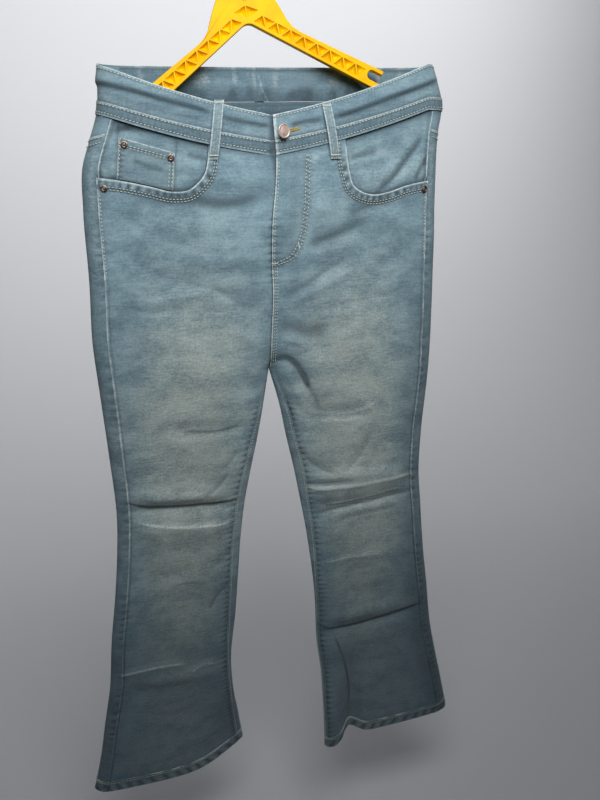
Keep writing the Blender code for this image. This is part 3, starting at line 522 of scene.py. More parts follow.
# %% The loops
ROW_STEP = 0.002
LEVELS = np.arange(0, HEM_END + ROW_STEP / 2, ROW_STEP)
CROTCH_ROW = int(round(CROTCH / ROW_STEP))
SHARES = 512
STEPS = 240


def round_off(distance, run):
    """A quarter circle: 0 at no distance, 1 from run on."""
    return np.sqrt(1 - (1 - np.clip(distance / run, 0, 1)) ** 2)


def fold_rise(side, face, x, drop):
    """How far the large knee and thigh folds lift one face of the loop."""
    total = np.zeros_like(x)
    for x0, drop0, x1, drop1, reach, rise in FOLDS[side, face]:
        dx, dd = x1 - x0, drop1 - drop0
        length = math.hypot(dx, dd)
        along = ((x - x0) * dx + (drop - drop0) * dd) / length**2
        away = ((x - x0) * dd - (drop - drop0) * dx) / length
        ends = np.clip(4 * np.minimum(along, 1 - along) + 0.3, 0, 1)
        total += rise * ends * bell(away, reach)
    return total


def swing_y(side, x, drop):
    """How far a hem swings back, at its inner fold and in a valley beside it."""
    total = np.zeros_like(x)
    for swing in SWINGS:
        if swing.side == side:
            strength = ease(drop, swing.from_drop, HEM_END)
            total += strength * swing.at_fold * bell(x - inner_x(side, drop), swing.run)
            total += strength * swing.valley * bell(x - swing.valley_x, swing.valley_run)
    return total


def loop_of(side, drop):
    """The loop of one half at one drop: x, y and share of its points, and its length."""
    x_in, x_out = float(inner_x(side, drop)), float(outer_x(side, drop))
    half = (1 - np.cos(np.pi * np.linspace(0, 1, STEPS + 1))) / 2
    x = x_in + (x_out - x_in) * half
    short = max(0.0, 1 - (CROTCH - drop) / CROTCH_CURVE)
    apart = 0.0 if drop > CROTCH - ROW_STEP / 2 else math.sqrt(1 - short * short)
    outer_round = round_off(np.abs(x_out - x), FOLD_RUN)
    inner_round = np.sqrt(apart**2 + (1 - apart**2) * round_off(np.abs(x - x_in), FOLD_RUN) ** 2)
    as_body = 1 - CROWN + CROWN * np.cos(np.pi / 2 * half)
    as_leg = 1 - CROWN + CROWN * np.sin(np.pi * half)
    legs = ease(drop, CROTCH - 0.16, CROTCH + 0.06)
    flat = outer_round * inner_round
    reach = (as_body * (1 - legs) + as_leg * legs) * flat
    middle = swing_y(side, x, drop)
    front = middle - read(DEPTH, "front", drop) * reach - fold_rise(side, "front", x, drop) * flat
    back = middle + read(DEPTH, "back", drop) * reach + fold_rise(side, "back", x, drop) * flat
    xs = np.concatenate([x, x[-2::-1]])
    ys = np.concatenate([front, back[-2::-1]])
    run = np.concatenate([[0], np.cumsum(np.hypot(np.diff(xs), np.diff(ys)))])
    return xs, ys, run / run[-1], run[-1]


POINTS = np.empty((2, len(LEVELS), SHARES + 1, 3))
FRONT, BACK = np.empty((2, len(LEVELS), STEPS + 1)), np.empty((2, len(LEVELS), STEPS + 1))
LENGTH = np.empty((2, len(LEVELS), 1))
for k, half_side in enumerate((RIGHT, LEFT)):
    for r, level in enumerate(LEVELS):
        xs, ys, shares, length = loop_of(half_side, level)
        even = np.linspace(0, 1, SHARES + 1)
        x = np.interp(even, shares, xs)
        POINTS[k, r] = np.stack(
            [x, np.interp(even, shares, ys), WAIST_Z - level + TILT * (x - WAIST_X)], axis=-1
        )
        FRONT[k, r], BACK[k, r] = shares[: STEPS + 1], shares[: STEPS - 1 : -1]
        LENGTH[k, r] = length


def faces_out():
    """The direction that the cloth faces at each place of the table."""
    place = np.arange(SHARES + 1)
    ring = POINTS[:, :, (place + 2) % SHARES] - POINTS[:, :, (place - 2) % SHARES]
    body = POINTS[:, :, np.minimum(place + 2, SHARES)] - POINTS[:, :, np.maximum(place - 2, 0)]
    row = np.arange(len(LEVELS))
    along = np.where((row < CROTCH_ROW)[None, :, None, None], body, ring)
    below, above = np.minimum(row + 1, len(LEVELS) - 1), np.maximum(row - 1, 0)
    below[CROTCH_ROW - 1], above[CROTCH_ROW] = CROTCH_ROW - 1, CROTCH_ROW
    normal = np.cross(along, POINTS[:, below] - POINTS[:, above])
    normal *= np.array([-RIGHT, -LEFT])[:, None, None, None]
    return normal / np.linalg.norm(normal, axis=-1, keepdims=True)


NORMALS = faces_out()
print("loops at", len(LEVELS), "drops, waist", round(float(LENGTH[:, 0].sum()), 3), "m round")


# %% Reading the form
def look(table, side, across, drop):
    """A table read between its rows and its columns; across runs from 0 to 1."""
    k = (np.asarray(side) > 0).astype(int)
    row = np.clip(np.asarray(drop) / ROW_STEP, 0, len(LEVELS) - 1.0001)
    r = row.astype(int)
    columns = table.shape[2] - 1
    place = np.clip(across, 0, 1) * columns
    c = np.minimum(place.astype(int), columns - 1)
    a, b = row - r, place - c
    if table.ndim == 4:
        a, b = a[..., None], b[..., None]
    top = table[k, r, c] * (1 - b) + table[k, r, c + 1] * b
    foot = table[k, r + 1, c] * (1 - b) + table[k, r + 1, c + 1] * b
    return top * (1 - a) + foot * a


def loop_length(side, drop):
    row = np.clip(np.round(np.asarray(drop) / ROW_STEP), 0, len(LEVELS) - 1).astype(int)
    return LENGTH[(np.asarray(side) > 0).astype(int), row, 0]


def share_at(side, face, x, drop):
    """The share of a place given by its x, on the front or on the back."""
    x_in, x_out = inner_x(side, drop), outer_x(side, drop)
    half = np.clip((x - x_in) / (x_out - x_in), 0, 1)
    return look(FRONT if face == "front" else BACK, side, np.arccos(1 - 2 * half) / np.pi, drop)


def fold_share(side, drop):
    return look(FRONT, side, np.ones_like(np.asarray(drop, float)), drop)


def form(side, share, drop):
    """Points of the bare form and the way they face."""
    share = np.where(drop >= CROTCH - 1e-9, share % 1.0, np.clip(share, 0, 1))
    points, normals = look(POINTS, side, share, drop), look(NORMALS, side, share, drop)
    return points, normals / np.linalg.norm(normals, axis=-1, keepdims=True)


def seam_x(side, drop):
    return outer_x(side, drop) - side * read(INSET, "side", drop)


def side_seam(side, drop):
    return share_at(side, "front", seam_x(side, drop), drop)


def inseam_x(side, drop):
    return inner_x(side, drop) + side * read_side(INSET, side, np.maximum(drop, INSEAM_SETTLED))


def inseam(side, drop):
    """The share of the inseam: at the inner fold by the crotch, then a little way on to the front."""
    begun = np.clip((drop - CROTCH) / (INSEAM_SETTLED - CROTCH), 0, 1)
    return share_at(side, "front", inseam_x(side, drop), drop) * begun


def gap_share(side, drop):
    return SEAM_GAP / 2 / loop_length(side, drop)


# %% [markdown]
# ## Creases
# Cloth that has been folded away keeps its creases. Each row is one crease: how many mm it stands up
# (below 0 it is a trough), over how many mm it falls away above and below its line, how much darker (or,
# below 0, paler) its line is, and the points (x, drop) that it passes, in mm. A smooth curve joins them.
# The backs are hidden in the photo and get creases of the same kind.

# %% Creases
# A shade over 0 paints shade along the crease's line; below 0 the line is paler, partly wear and partly
# painted highlight.
# rise, above, below, shade, points
CREASES = {
    (RIGHT, "front"): [
        (-2.4, 22, 17, 0.85, [(-134, 141), (-75, 144), (-44, 149), (0, 143), (14, 138)]),
        (1.8, 13, 10, 0.0, [(-62, 124), (-20, 124), (14, 128)]),
        (-1.3, 9, 8, 0.22, [(-165, 147), (-128, 178), (-83, 196), (-34, 218)]),
        (-1.5, 10, 9, 0.26, [(-166, 185), (-132, 221), (-74, 243), (4, 266)]),
        (1.3, 8, 9, -0.10, [(-86, 214), (-40, 219), (10, 210)]),
        (-1.5, 7, 7, 0.35, [(-62, 242), (-22, 270), (4, 281)]),
        (1.2, 6, 8, -0.12, [(-150, 262), (-90, 256), (-30, 246)]),
        (-0.8, 4, 5, 0.20, [(-184, 266), (-100, 274), (4, 277)]),
        (1.2, 8, 8, -0.10, [(-40, 300), (-14, 318), (2, 340)]),
        (1.3, 7, 2.4, 0.62, [(-109, 432), (-88, 435), (-60, 438), (-28, 433)]),
        (2.0, 8, 2.0, 1.05, [(-196, 524), (-157, 536), (-104, 544), (-60, 547), (-24, 549)]),
        (1.6, 5, 7, -0.35, [(-187, 516), (-130, 528), (-80, 533), (-52, 532)]),
        (0.9, 2.2, 5, -0.85, [(-189, 553), (-150, 568), (-100, 578), (-60, 581), (-34, 580)]),
        (1.0, 8, 12, -0.20, [(-170, 588), (-110, 600), (-60, 600)]),
        (-1.5, 5, 6, 0.50, [(-48, 504), (-68, 525), (-88, 536)]),
        (-1.2, 5, 5, 0.30, [(-34, 470), (-46, 488), (-66, 506)]),
        (0.8, 7, 3, 0.22, [(-140, 672), (-110, 668), (-80, 676)]),
        (-1.6, 6, 6, 0.45, [(-52, 680), (-73, 701), (-88, 726)]),
        (-1.2, 6, 6, 0.30, [(-48, 622), (-62, 640), (-78, 652)]),
        (2.0, 5, 9, -0.85, [(-232, 813), (-193, 808), (-149, 806), (-116, 811)]),
        (1.5, 5, 7, -0.60, [(-122, 828), (-98, 818), (-76, 823)]),
        (-1.0, 9, 9, 0.18, [(-175, 640), (-140, 650), (-100, 640)]),
        (-1.0, 12, 12, 0.16, [(-200, 880), (-150, 900), (-100, 890)]),
    ],
    (LEFT, "front"): [
        (-2.2, 19, 17, 0.85, [(56, 204), (78, 197), (100, 190), (126, 180), (150, 174)]),
        (-1.4, 9, 9, 0.60, [(112, 170), (140, 160), (172, 152)]),
        (2.0, 11, 11, -0.12, [(78, 172), (88, 145), (96, 122)]),
        (1.6, 9, 10, -0.18, [(48, 226), (103, 199), (155, 182), (196, 160)]),
        (-1.4, 8, 8, 0.50, [(22, 268), (58, 252), (92, 231), (120, 220)]),
        (1.2, 6, 6, -0.12, [(30, 280), (70, 262), (130, 236)]),
        (-1.2, 9, 8, 0.22, [(214, 196), (182, 222), (150, 236)]),
        (-0.9, 5, 6, 0.22, [(60, 286), (120, 278), (198, 272)]),
        (-1.4, 26, 24, 0.62, [(16, 298), (40, 303), (66, 312), (96, 316)]),
        (-1.0, 12, 12, 0.25, [(64, 306), (90, 307), (126, 312)]),
        (1.8, 6, 6, -0.30, [(28, 322), (50, 326), (66, 340)]),
        (-1.8, 8, 8, 1.90, [(6, 356), (22, 347), (36, 346), (48, 356), (58, 372), (68, 396)]),
        (-1.6, 10, 9, 0.55, [(56, 366), (71, 398), (86, 430)]),
        (-1.6, 4, 4, 0.60, [(18, 352), (28, 385), (40, 418), (52, 464)]),
        (1.4, 4, 5, -0.25, [(32, 362), (46, 390), (60, 424)]),
        (1.2, 3, 7, 0.35, [(56, 428), (96, 436), (127, 438), (150, 433), (172, 422)]),
        (0.9, 3, 5, -0.55, [(72, 441), (100, 444), (127, 446), (150, 441)]),
        (-1.6, 5, 6, 0.45, [(52, 478), (72, 505), (96, 522), (116, 526)]),
        (-1.4, 6, 6, 0.35, [(116, 526), (136, 510), (152, 486), (160, 462)]),
        (-1.2, 5, 4, 0.60, [(56, 537), (90, 540), (115, 540), (142, 538)]),
        (2.2, 6, 9, -2.30, [(56, 544), (92, 548), (140, 548), (190, 547), (232, 546)]),
        (1.6, 10, 10, 0.0, [(70, 560), (120, 562), (170, 560), (222, 556)]),
        (2.6, 11, 4, -1.00, [(82, 577), (115, 577), (154, 574), (190, 570), (224, 565)]),
        (-2.0, 3, 7, 1.00, [(64, 592), (107, 587), (128, 585), (164, 582), (199, 578), (238, 575)]),
        (-1.0, 4, 5, 0.40, [(96, 612), (139, 602), (172, 600), (218, 596)]),
        (1.0, 3, 7, -0.60, [(83, 680), (110, 676), (150, 675), (196, 679)]),
        (2.6, 12, 3.0, 1.10, [(76, 788), (104, 803), (128, 803), (150, 801), (201, 794), (268, 785)]),
        (-1.0, 10, 10, 0.16, [(120, 730), (160, 740), (210, 730)]),
        (1.2, 3, 3, 0.45, [(108, 806), (116, 828), (124, 852), (134, 892), (142, 944), (143, 990)]),
    ],
    (RIGHT, "back"): [
        (1.8, 9, 3.4, 0.5, [(-182, 566), (-140, 572), (-90, 580), (-50, 588)]),
        (1.4, 8, 3, 0.4, [(-160, 618), (-110, 622), (-60, 614)]),
        (1.6, 8, 4, 0.4, [(-172, 322), (-120, 345), (-60, 365), (-10, 368)]),
        (1.2, 7, 3, 0.35, [(-175, 412), (-120, 424), (-70, 420)]),
        (1.8, 10, 3.4, 0.55, [(-222, 846), (-170, 842), (-120, 832), (-76, 826)]),
        (-1.4, 9, 9, 0.15, [(-190, 250), (-140, 300), (-100, 330)]),
        (0.9, 6, 3, 0.25, [(-150, 700), (-110, 706), (-80, 698)]),
    ],
    (LEFT, "back"): [
        (1.8, 9, 3.4, 0.5, [(80, 590), (130, 580), (180, 566), (222, 562)]),
        (1.4, 8, 3, 0.4, [(90, 632), (140, 628), (200, 610)]),
        (1.6, 8, 4, 0.4, [(36, 370), (90, 366), (150, 348), (212, 326)]),
        (1.2, 7, 3, 0.35, [(96, 424), (150, 430), (205, 414)]),
        (1.8, 10, 3.4, 0.55, [(112, 822), (160, 830), (215, 838), (258, 840)]),
        (-1.4, 9, 9, 0.15, [(228, 250), (180, 296), (140, 330)]),
        (0.9, 6, 3, 0.25, [(110, 704), (160, 700), (200, 708)]),
    ],
}


def run_along(path):
    """How far along a path each of its points lies."""
    return np.concatenate([[0], np.cumsum(np.linalg.norm(np.diff(path, axis=0), axis=1))])


def curve_through(line, step=0.002):
    """A smooth curve through a few given points, as points about a step apart."""
    line = np.asarray(line, float)
    run = run_along(line)
    return smooth_curve(run, line, np.linspace(0, run[-1], max(int(run[-1] / step), 3)))


def from_line(x, drop, curve):
    """Signed distance from a curve (above 0 on its lower side) and how far along the nearest place is."""
    best = np.full(x.shape, np.inf)
    signed, along = np.zeros(x.shape), np.zeros(x.shape)
    count = len(curve) - 1
    for index, (start, end) in enumerate(zip(curve, curve[1:])):
        dx, dd = end - start
        size = dx * dx + dd * dd
        t = np.clip(((x - start[0]) * dx + (drop - start[1]) * dd) / size, 0, 1)
        away_x, away_drop = x - start[0] - t * dx, drop - start[1] - t * dd
        distance = np.hypot(away_x, away_drop)
        nearer = distance < best
        best = np.where(nearer, distance, best)
        lower = np.where((dx * away_drop - dd * away_x) * np.sign(dx if dx else 1) < 0, -1, 1)
        signed = np.where(nearer, distance * lower, signed)
        along = np.where(nearer, (index + t) / count, along)
    return signed, along


Crease = namedtuple("Crease", "rise above below shade curve")
crease_curves = {
    where: [Crease(*row[:4], curve_through(np.array(row[4]) * MM, 0.005)) for row in rows]
    for where, rows in CREASES.items()
}
print(sum(len(rows) for rows in CREASES.values()), "creases")


# %% [markdown]
# ## What lies on the form
# One function gives the height of the cloth over the form at any place, and its three tones. Every piece
# and every stitch asks it, so they agree where they meet. Soft waves keep the cloth from being too even.
# The side seams pull the cloth into puckers 13 mm apart and the inseams into rungs 9 mm apart; washing
# leaves them pale on top, and painted shade darkens them between. The fronts are faded down the middle of
# each leg. Painted shade also darkens the legs towards the hems, and the outer edge of the left thigh.

# %% Waves and fading
WAVES = table(
    "across down phase rise",
    (36.0, 15.0, 0.3, 0.50),
    (-24.0, 27.0, 1.9, 0.45),
    (68.0, 24.0, 4.1, 0.28),
    (-56.0, 57.0, 2.6, 0.26),
    (16.0, 81.0, 5.2, 0.22),
    (124.0, 39.0, 0.9, 0.12),
    (-92.0, 99.0, 3.3, 0.12),
)
FADES = table(
    "drop strength right left wide",
    (0.060, 0.10, -0.090, 0.120, 0.110),
    (0.150, 0.22, -0.080, 0.120, 0.105),
    (0.230, 0.38, -0.075, 0.125, 0.095),
    (0.310, 0.75, -0.080, 0.125, 0.088),
    (0.420, 1.00, -0.096, 0.125, 0.086),
    (0.520, 1.05, -0.102, 0.138, 0.080),
    (0.610, 0.95, -0.108, 0.150, 0.074),
    (0.700, 0.75, -0.122, 0.158, 0.070),
    (0.780, 0.55, -0.130, 0.165, 0.075),
    (0.860, 0.45, -0.135, 0.170, 0.080),
    (1.030, 0.40, -0.150, 0.185, 0.090),
)
print(len(WAVES), "waves")

# %% Relief and tones
PUCKER_PITCH, PUCKER_REACH, RUNG_PITCH = 0.0128, 0.0075, 0.0090
LINE_WIDTH, SOFT_LINE = 0.0020, 0.45


def peaks(wave):
    """The parts of a wave over 0."""
    return np.clip(wave, 0, 1)


def crease_marks(side, front, x, drop):
    """What the creases add at each place: height, wear with painted highlight, and painted shade."""
    height, wear, shade = np.zeros((3, *x.shape))
    for (crease_side, face), creases in crease_curves.items():
        here = (side == crease_side) & (front == (face == "front"))
        for crease in creases:
            far = 4 * MM * max(crease.above, crease.below)
            low, high = crease.curve.min(axis=0) - far, crease.curve.max(axis=0) + far
            near = here & (x > low[0]) & (x < high[0]) & (drop > low[1]) & (drop < high[1])
            if not near.any():
                continue
            away, along = from_line(x[near], drop[near], crease.curve)
            ends = ease(np.minimum(along, 1 - along), -0.02, 0.22)
            reach = np.where(away < 0, crease.above, crease.below) * MM
            height[near] += crease.rise * MM * ends * bell(away, reach)
            wide = max(LINE_WIDTH, SOFT_LINE * MM * min(crease.above, crease.below))
            # The crease's line: painted shade when its shade is over 0, else a pale line of wear and painted
            # highlight.
            line = np.abs(crease.shade) * ends * bell(away - 0.0008, wide)
            (shade if crease.shade > 0 else wear)[near] += line
    return height, wear, shade


def seam_marks(side, front, x, drop):
    """What the side seam and the inseam add at each place: height, wear and shade."""
    from_side = side * (x - seam_x(side, drop))
    beat = drop / PUCKER_PITCH + 0.35 * np.sin(drop * 61)
    pucker = np.sin(2 * np.pi * beat) * (0.65 + 0.35 * np.sin(drop * 37))
    pucker = pucker * np.exp(-np.abs(from_side) / PUCKER_REACH)
    sewn = front * ease(drop, 0.06, 0.09)
    outside = sewn * (from_side > 0)
    height = sewn * 0.00045 * pucker
    wear = outside * 0.30 * (1 - ease(drop, 0.20, 0.34)) * bell(from_side - 0.0060, 0.0060)
    # Painted shade: a little over the strip outside the seam, between its puckers, and in a line along the
    # seam.
    shade = outside * (0.05 + 1.15 * peaks(-pucker - 0.05) * bell(from_side - 0.0050, 0.0060))
    shade += sewn * 0.55 * bell(from_side + 0.0032, 0.0012)
    from_inseam = side * (x - inseam_x(side, drop))
    rung = np.sin(2 * np.pi * drop / RUNG_PITCH + 1.5 * np.sin(drop * 43))
    rung = rung * np.exp(-np.abs(from_inseam - 0.002) / 0.0055)
    legs = front * ease(drop, CROTCH + 0.02, CROTCH + 0.06)
    height += legs * 0.0004 * rung
    # Painted shade between the inseam's rungs and along the inseam.
    shade += legs * (from_inseam > 0) * (0.80 * peaks(-rung) + 0.25 * bell(from_inseam, 0.004))
    return height, wear, shade


def relief(side, share, drop, x):
    """Height over the form, in metres, and the tones (fade, wear, painted shade)."""
    side = np.broadcast_to(side, x.shape)
    share = np.where(drop >= CROTCH, share % 1.0, share)
    front = share < fold_share(side, drop)
    height, wear, shade = crease_marks(side, front, x, drop)
    phase = np.where(front, 0.0, 2.0) + np.where(side < 0, 0.0, 0.7)
    for wave in WAVES:
        height += wave.rise * MM * np.sin(wave.across * x + wave.down * drop + wave.phase + phase)
    from_outer = np.abs(outer_x(side, drop) - x)
    from_inner = np.abs(x - inner_x(side, drop))
    calm = round_off(from_outer, 0.020) * np.where(drop > CROTCH, round_off(from_inner, 0.015), 1.0)
    calm = calm * ease(drop, 0.055, 0.12) * (1 - ease(drop, HEM_END - 0.05, HEM_END - 0.01))
    seam_height, seam_wear, seam_shade = seam_marks(side, front, x, drop)
    height = height * calm + seam_height
    # Painted shade: the legs darken towards the hems, where the light falls off.
    shade += seam_shade + 0.48 * ease(drop, 0.56, 0.84)
    # Painted shade along the outer edge of the left thigh, which turns away from the light.
    shade += front * (side > 0) * 0.30 * bell(from_outer - 0.022, 0.022) * ease(drop, 0.14, 0.28)
    strength = read(FADES, "strength", drop) * np.where(front, 1.0, 0.55)
    middle = read_side(FADES, side, drop)
    fade = np.clip(strength, 0, 1) * bell(x - middle, read(FADES, "wide", drop))
    return height, np.stack([fade, wear + seam_wear, shade], axis=-1)


def surface(side, share, drop, lift):
    """Points at a lift over the finished cloth, and the way they face."""
    base, normal = form(side, share, drop)
    height = relief(side, share, drop, base[..., 0])[0]
    return base + normal * (height + lift)[..., None], normal


print("puckers", PUCKER_PITCH * 1000, "mm apart")

# %% [markdown]
# ## How a piece of cloth is made
# A sheet starts as a grid, added at one size. Its points are moved to their places on the form, its map
# is set in metres so that the weave keeps its scale, and its tones are stored on it. A Solidify modifier
# then gives it the cloth's thickness, inwards, because the form is the outer face of the cloth, and the
# points of its new inner face get the tone of unfaded cloth, darkened by painted shade.

# %% Making cloth
# The inner face's tones: no fade, no wear, and painted shade.
INSIDE_PAINTED_SHADE = (0.0, 0.0, 0.22)
WELD, CLOTH_SMOOTH = 1e-6, math.radians(55)


def alone(piece):
    """Selects one piece and nothing else."""
    bpy.ops.object.select_all(action="DESELECT")
    piece.select_set(True)
    bpy.context.view_layer.objects.active = piece


def measured(points):
    """Width, length and area of a grid of points as it lies on the form."""
    across = np.linalg.norm(np.diff(points, axis=1), axis=-1)
    down = np.linalg.norm(np.diff(points, axis=0), axis=-1)
    area = (across[1:] + across[:-1]) / 2 * (down[:, 1:] + down[:, :-1]) / 2
    return float(across.sum(axis=1).max()), float(down.sum(axis=0).max()), float(area.sum())


def as_floats(values):
    return np.asarray(values, np.float32).reshape(-1)


def set_map(mesh, base, drop):
    """The cloth's map in metres: across from the middle column, and down the garment."""
    columns = base.shape[1]
    run = np.cumsum(np.linalg.norm(np.diff(base, axis=1, prepend=base[:, :1]), axis=-1), axis=1)
    run -= run[:, columns // 2 : columns // 2 + 1]
    cloth_map = np.stack([run, -drop], axis=-1).reshape(-1, 2)
    corners = np.empty(len(mesh.loops), np.int32)
    mesh.loops.foreach_get("vertex_index", corners)
    mesh.uv_layers[0].name = "UVMap"
    mesh.uv_layers[0].data.foreach_set("uv", as_floats(cloth_map[corners]))


def set_tones(mesh, tones, first=0):
    """Stores tones on the points from a first one on."""
    stored = mesh.attributes.get("tone") or mesh.attributes.new("tone", "FLOAT_COLOR", "POINT")
    colour = np.ones((len(mesh.vertices), 4), np.float32)
    stored.data.foreach_get("color", colour.reshape(-1))
    colour[first:, :3] = np.clip(tones, 0, 1).reshape(-1, 3)
    colour[first:, 3] = 1
    stored.data.foreach_set("color", colour.reshape(-1))


def thicken(piece, wall, inside):
    """Gives a sheet its wall, the inner face its own tones with painted shade, and the whole the denim."""
    outer_count = len(piece.data.vertices)
    solid = piece.modifiers.new("wall", "SOLIDIFY")
    solid.thickness, solid.offset = wall, -1
    bpy.ops.object.modifier_apply(modifier="wall")
    set_tones(piece.data, inside, outer_count)
    bpy.ops.object.shade_smooth_by_angle(angle=CLOTH_SMOOTH)
    piece.data.materials.append(denim)


def faces_inwards(mesh, normal):
    facing = np.empty(len(mesh.polygons) * 3, np.float32)
    mesh.polygons.foreach_get("normal", facing)
    return (facing.reshape(-1, 3) * normal[:-1, :-1].reshape(-1, 3)).sum() < 0


# %% One piece of cloth
def cloth(
    name, side, share, drop, wall, lift=0.0, height=0.0, wear=0.0, shade=0.0,
    fade=None, ring=False, inside=INSIDE_PAINTED_SHADE,
):
    """One piece: a grid on the form, with its own height and tones added to the garment's."""
    rows, columns = share.shape
    base, normal = form(side, share, drop)
    rise, tones = relief(side, share, drop, base[..., 0])
    if fade is not None:
        tones[..., 0] = fade
    tones[..., 1] += wear
    tones[..., 2] += shade
    bpy.ops.object.select_all(action="DESELECT")
    bpy.ops.mesh.primitive_grid_add(x_subdivisions=columns - 1, y_subdivisions=rows - 1, size=1)
    piece = bpy.context.object
    piece.name = piece.data.name = name
    mesh = piece.data
    mesh.vertices.foreach_set("co", as_floats(base + normal * (rise + lift + height)[..., None]))
    mesh.update()
    set_map(mesh, base, drop)
    set_tones(mesh, tones)
    inwards = faces_inwards(mesh, normal)
    bpy.ops.object.mode_set(mode="EDIT")
    bpy.ops.mesh.select_all(action="SELECT")
    if inwards:
        bpy.ops.mesh.flip_normals()
    if ring:
        bpy.ops.mesh.remove_doubles(threshold=WELD)
    bpy.ops.object.mode_set(mode="OBJECT")
    thicken(piece, wall, inside)
    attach(piece, "root")
    width, length, area = measured(base)
    width, length = round(width, 4), round(length, 4)
    return piece


def declare(node):
    """Hides the solid that a piece of cloth stands for."""
    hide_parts(node)


# %% [markdown]
# ## Waist lines and pocket mouths
# The waistband lies level with the sides at the back and dips in a soft V to the centre front. The front
# panels are cut away along the pocket mouths, whose edges are smooth curves through a few points.

# %% Waist and pocket lines
DIP = 0.0555
STRIP_SIDE, STRIP_FRONT = 0.0370, 0.0825
BAND_SIDE, BAND_FRONT = 0.0515, 0.0990
BAND_HALF = 0.195
BAND_LIFT, STRIP_LIFT = 0.0006, 0.0012
BAND_SPLIT, REFERENCE = 0.030, 0.05
YOKE_SIDE, YOKE_BACK = 0.072, 0.112
SCOOP_ZERO = 0.0210
LEVEL_UNDER_SCOOP = 0.160
SCOOPS = {
    RIGHT: [
        (0.0765, 0.0850), (0.0780, 0.1000), (0.0830, 0.1175), (0.0920, 0.1275), (0.1010, 0.1337),
        (0.1180, 0.1353), (0.1440, 0.1290), (0.1700, 0.1228), (0.2060, 0.1168),
    ],
    LEFT: [
        (0.0870, 0.0830), (0.0900, 0.1060), (0.0935, 0.1210), (0.0985, 0.1345), (0.1100, 0.1430),
        (0.1240, 0.1469), (0.1450, 0.1447), (0.1670, 0.1384), (0.2060, 0.1322),
    ],
}


def front_line(x, at_sides, at_front):
    """The drop of a waist line over the front: a V with softly bent arms."""
    r = np.clip(np.abs(x - centre_x(REFERENCE)) / BAND_HALF, 0, 1)
    return at_sides + (at_front - at_sides) * (1 - 0.6 * r - 0.4 * r * r)


def band_line(side, share, at_sides, at_front):
    """The drop of a waist line at some shares: level round the back, and a V over the front."""
    drop = np.full(np.shape(share), float(at_sides))
    for _ in range(6):
        x = form(side, share, drop)[0][..., 0]
        drop = front_line(x, at_sides, at_front)
    return np.where(share >= fold_share(side, np.full(np.shape(share), at_sides + 0.01)), at_sides, drop)


def scoop_curve(side):
    """The pocket's edge as points (x, drop), from under the waistband to past the side seam."""
    return curve_through([(SCOOP_ZERO + side * across, drop) for across, drop in SCOOPS[side]], 0.0015)


scoop_curves = {side: scoop_curve(side) for side in (RIGHT, LEFT)}


def from_scoop(side, x, drop):
    """Distance from the pocket's edge and how far along it, in metres."""
    curve = scoop_curves[side]
    away, along = from_line(x, drop, curve[::2])
    return np.abs(away), along * run_along(curve)[-1]


print("pocket edges", [round(float(run_along(curve)[-1]), 3) for curve in scoop_curves.values()], "m long")

# %% [markdown]
# ## Front panels
# Each column of the front panel's grid starts on its top edge, which runs along the waistband and then
# down round the pocket mouth. The edge of the mouth is folded and turned in, so it stands a little proud
# and wears pale. The left panel laps over the right one at the fly.

# %% Front panels
CLOTH_NAMES = {side: "_" + word + "_cloth" for side, word in SIDE_NAMES.items()}
CLOTH_STEP, EVEN_DROP, EDGE_BLEND = 0.0022, 0.30, 0.030
PANEL_FOOT = HEM_END - HEM_TALL - SEAM_GAP
MOUTH_ROWS = (0.0084, 0.0112)
FLY_TOP, FLY_FOOT, FLY_WIDE = 0.098, 0.224, 0.036
J_LINE = [
    (0.0600, 0.0985), (0.0590, 0.1300), (0.0570, 0.1640),
    (0.0510, 0.1960), (0.0400, 0.2150), (0.0180, 0.2240),
]
J_CURVE = curve_through([(x + 0.0022, drop + 0.001) for x, drop in J_LINE], 0.003)


def top_edge(side):
    """The front panel's top edge: (x, drop) from the centre front to the side seam."""
    scoop = scoop_curves[side]
    over_band = scoop[:, 1] > front_line(scoop[:, 0], BAND_SIDE, BAND_FRONT) + SEAM_GAP
    inside = side * scoop[:, 0] < side * seam_x(side, scoop[:, 1])
    scoop = scoop[over_band & inside]
    end_drop = scoop[-1, 1] - 0.0002
    scoop = np.vstack([scoop[:-1], [float(seam_x(side, end_drop)), end_drop]])
    x = np.linspace(float(centre_x(BAND_FRONT)), scoop[0, 0], 40)[:-1]
    band = np.stack([x, front_line(x, BAND_SIDE, BAND_FRONT) + SEAM_GAP], axis=-1)
    edge = np.vstack([band, scoop])
    run = run_along(edge)
    even = np.linspace(0, run[-1], int(run[-1] / CLOTH_STEP))
    return np.stack([np.interp(even, run, edge[:, 0]), np.interp(even, run, edge[:, 1])], axis=-1)


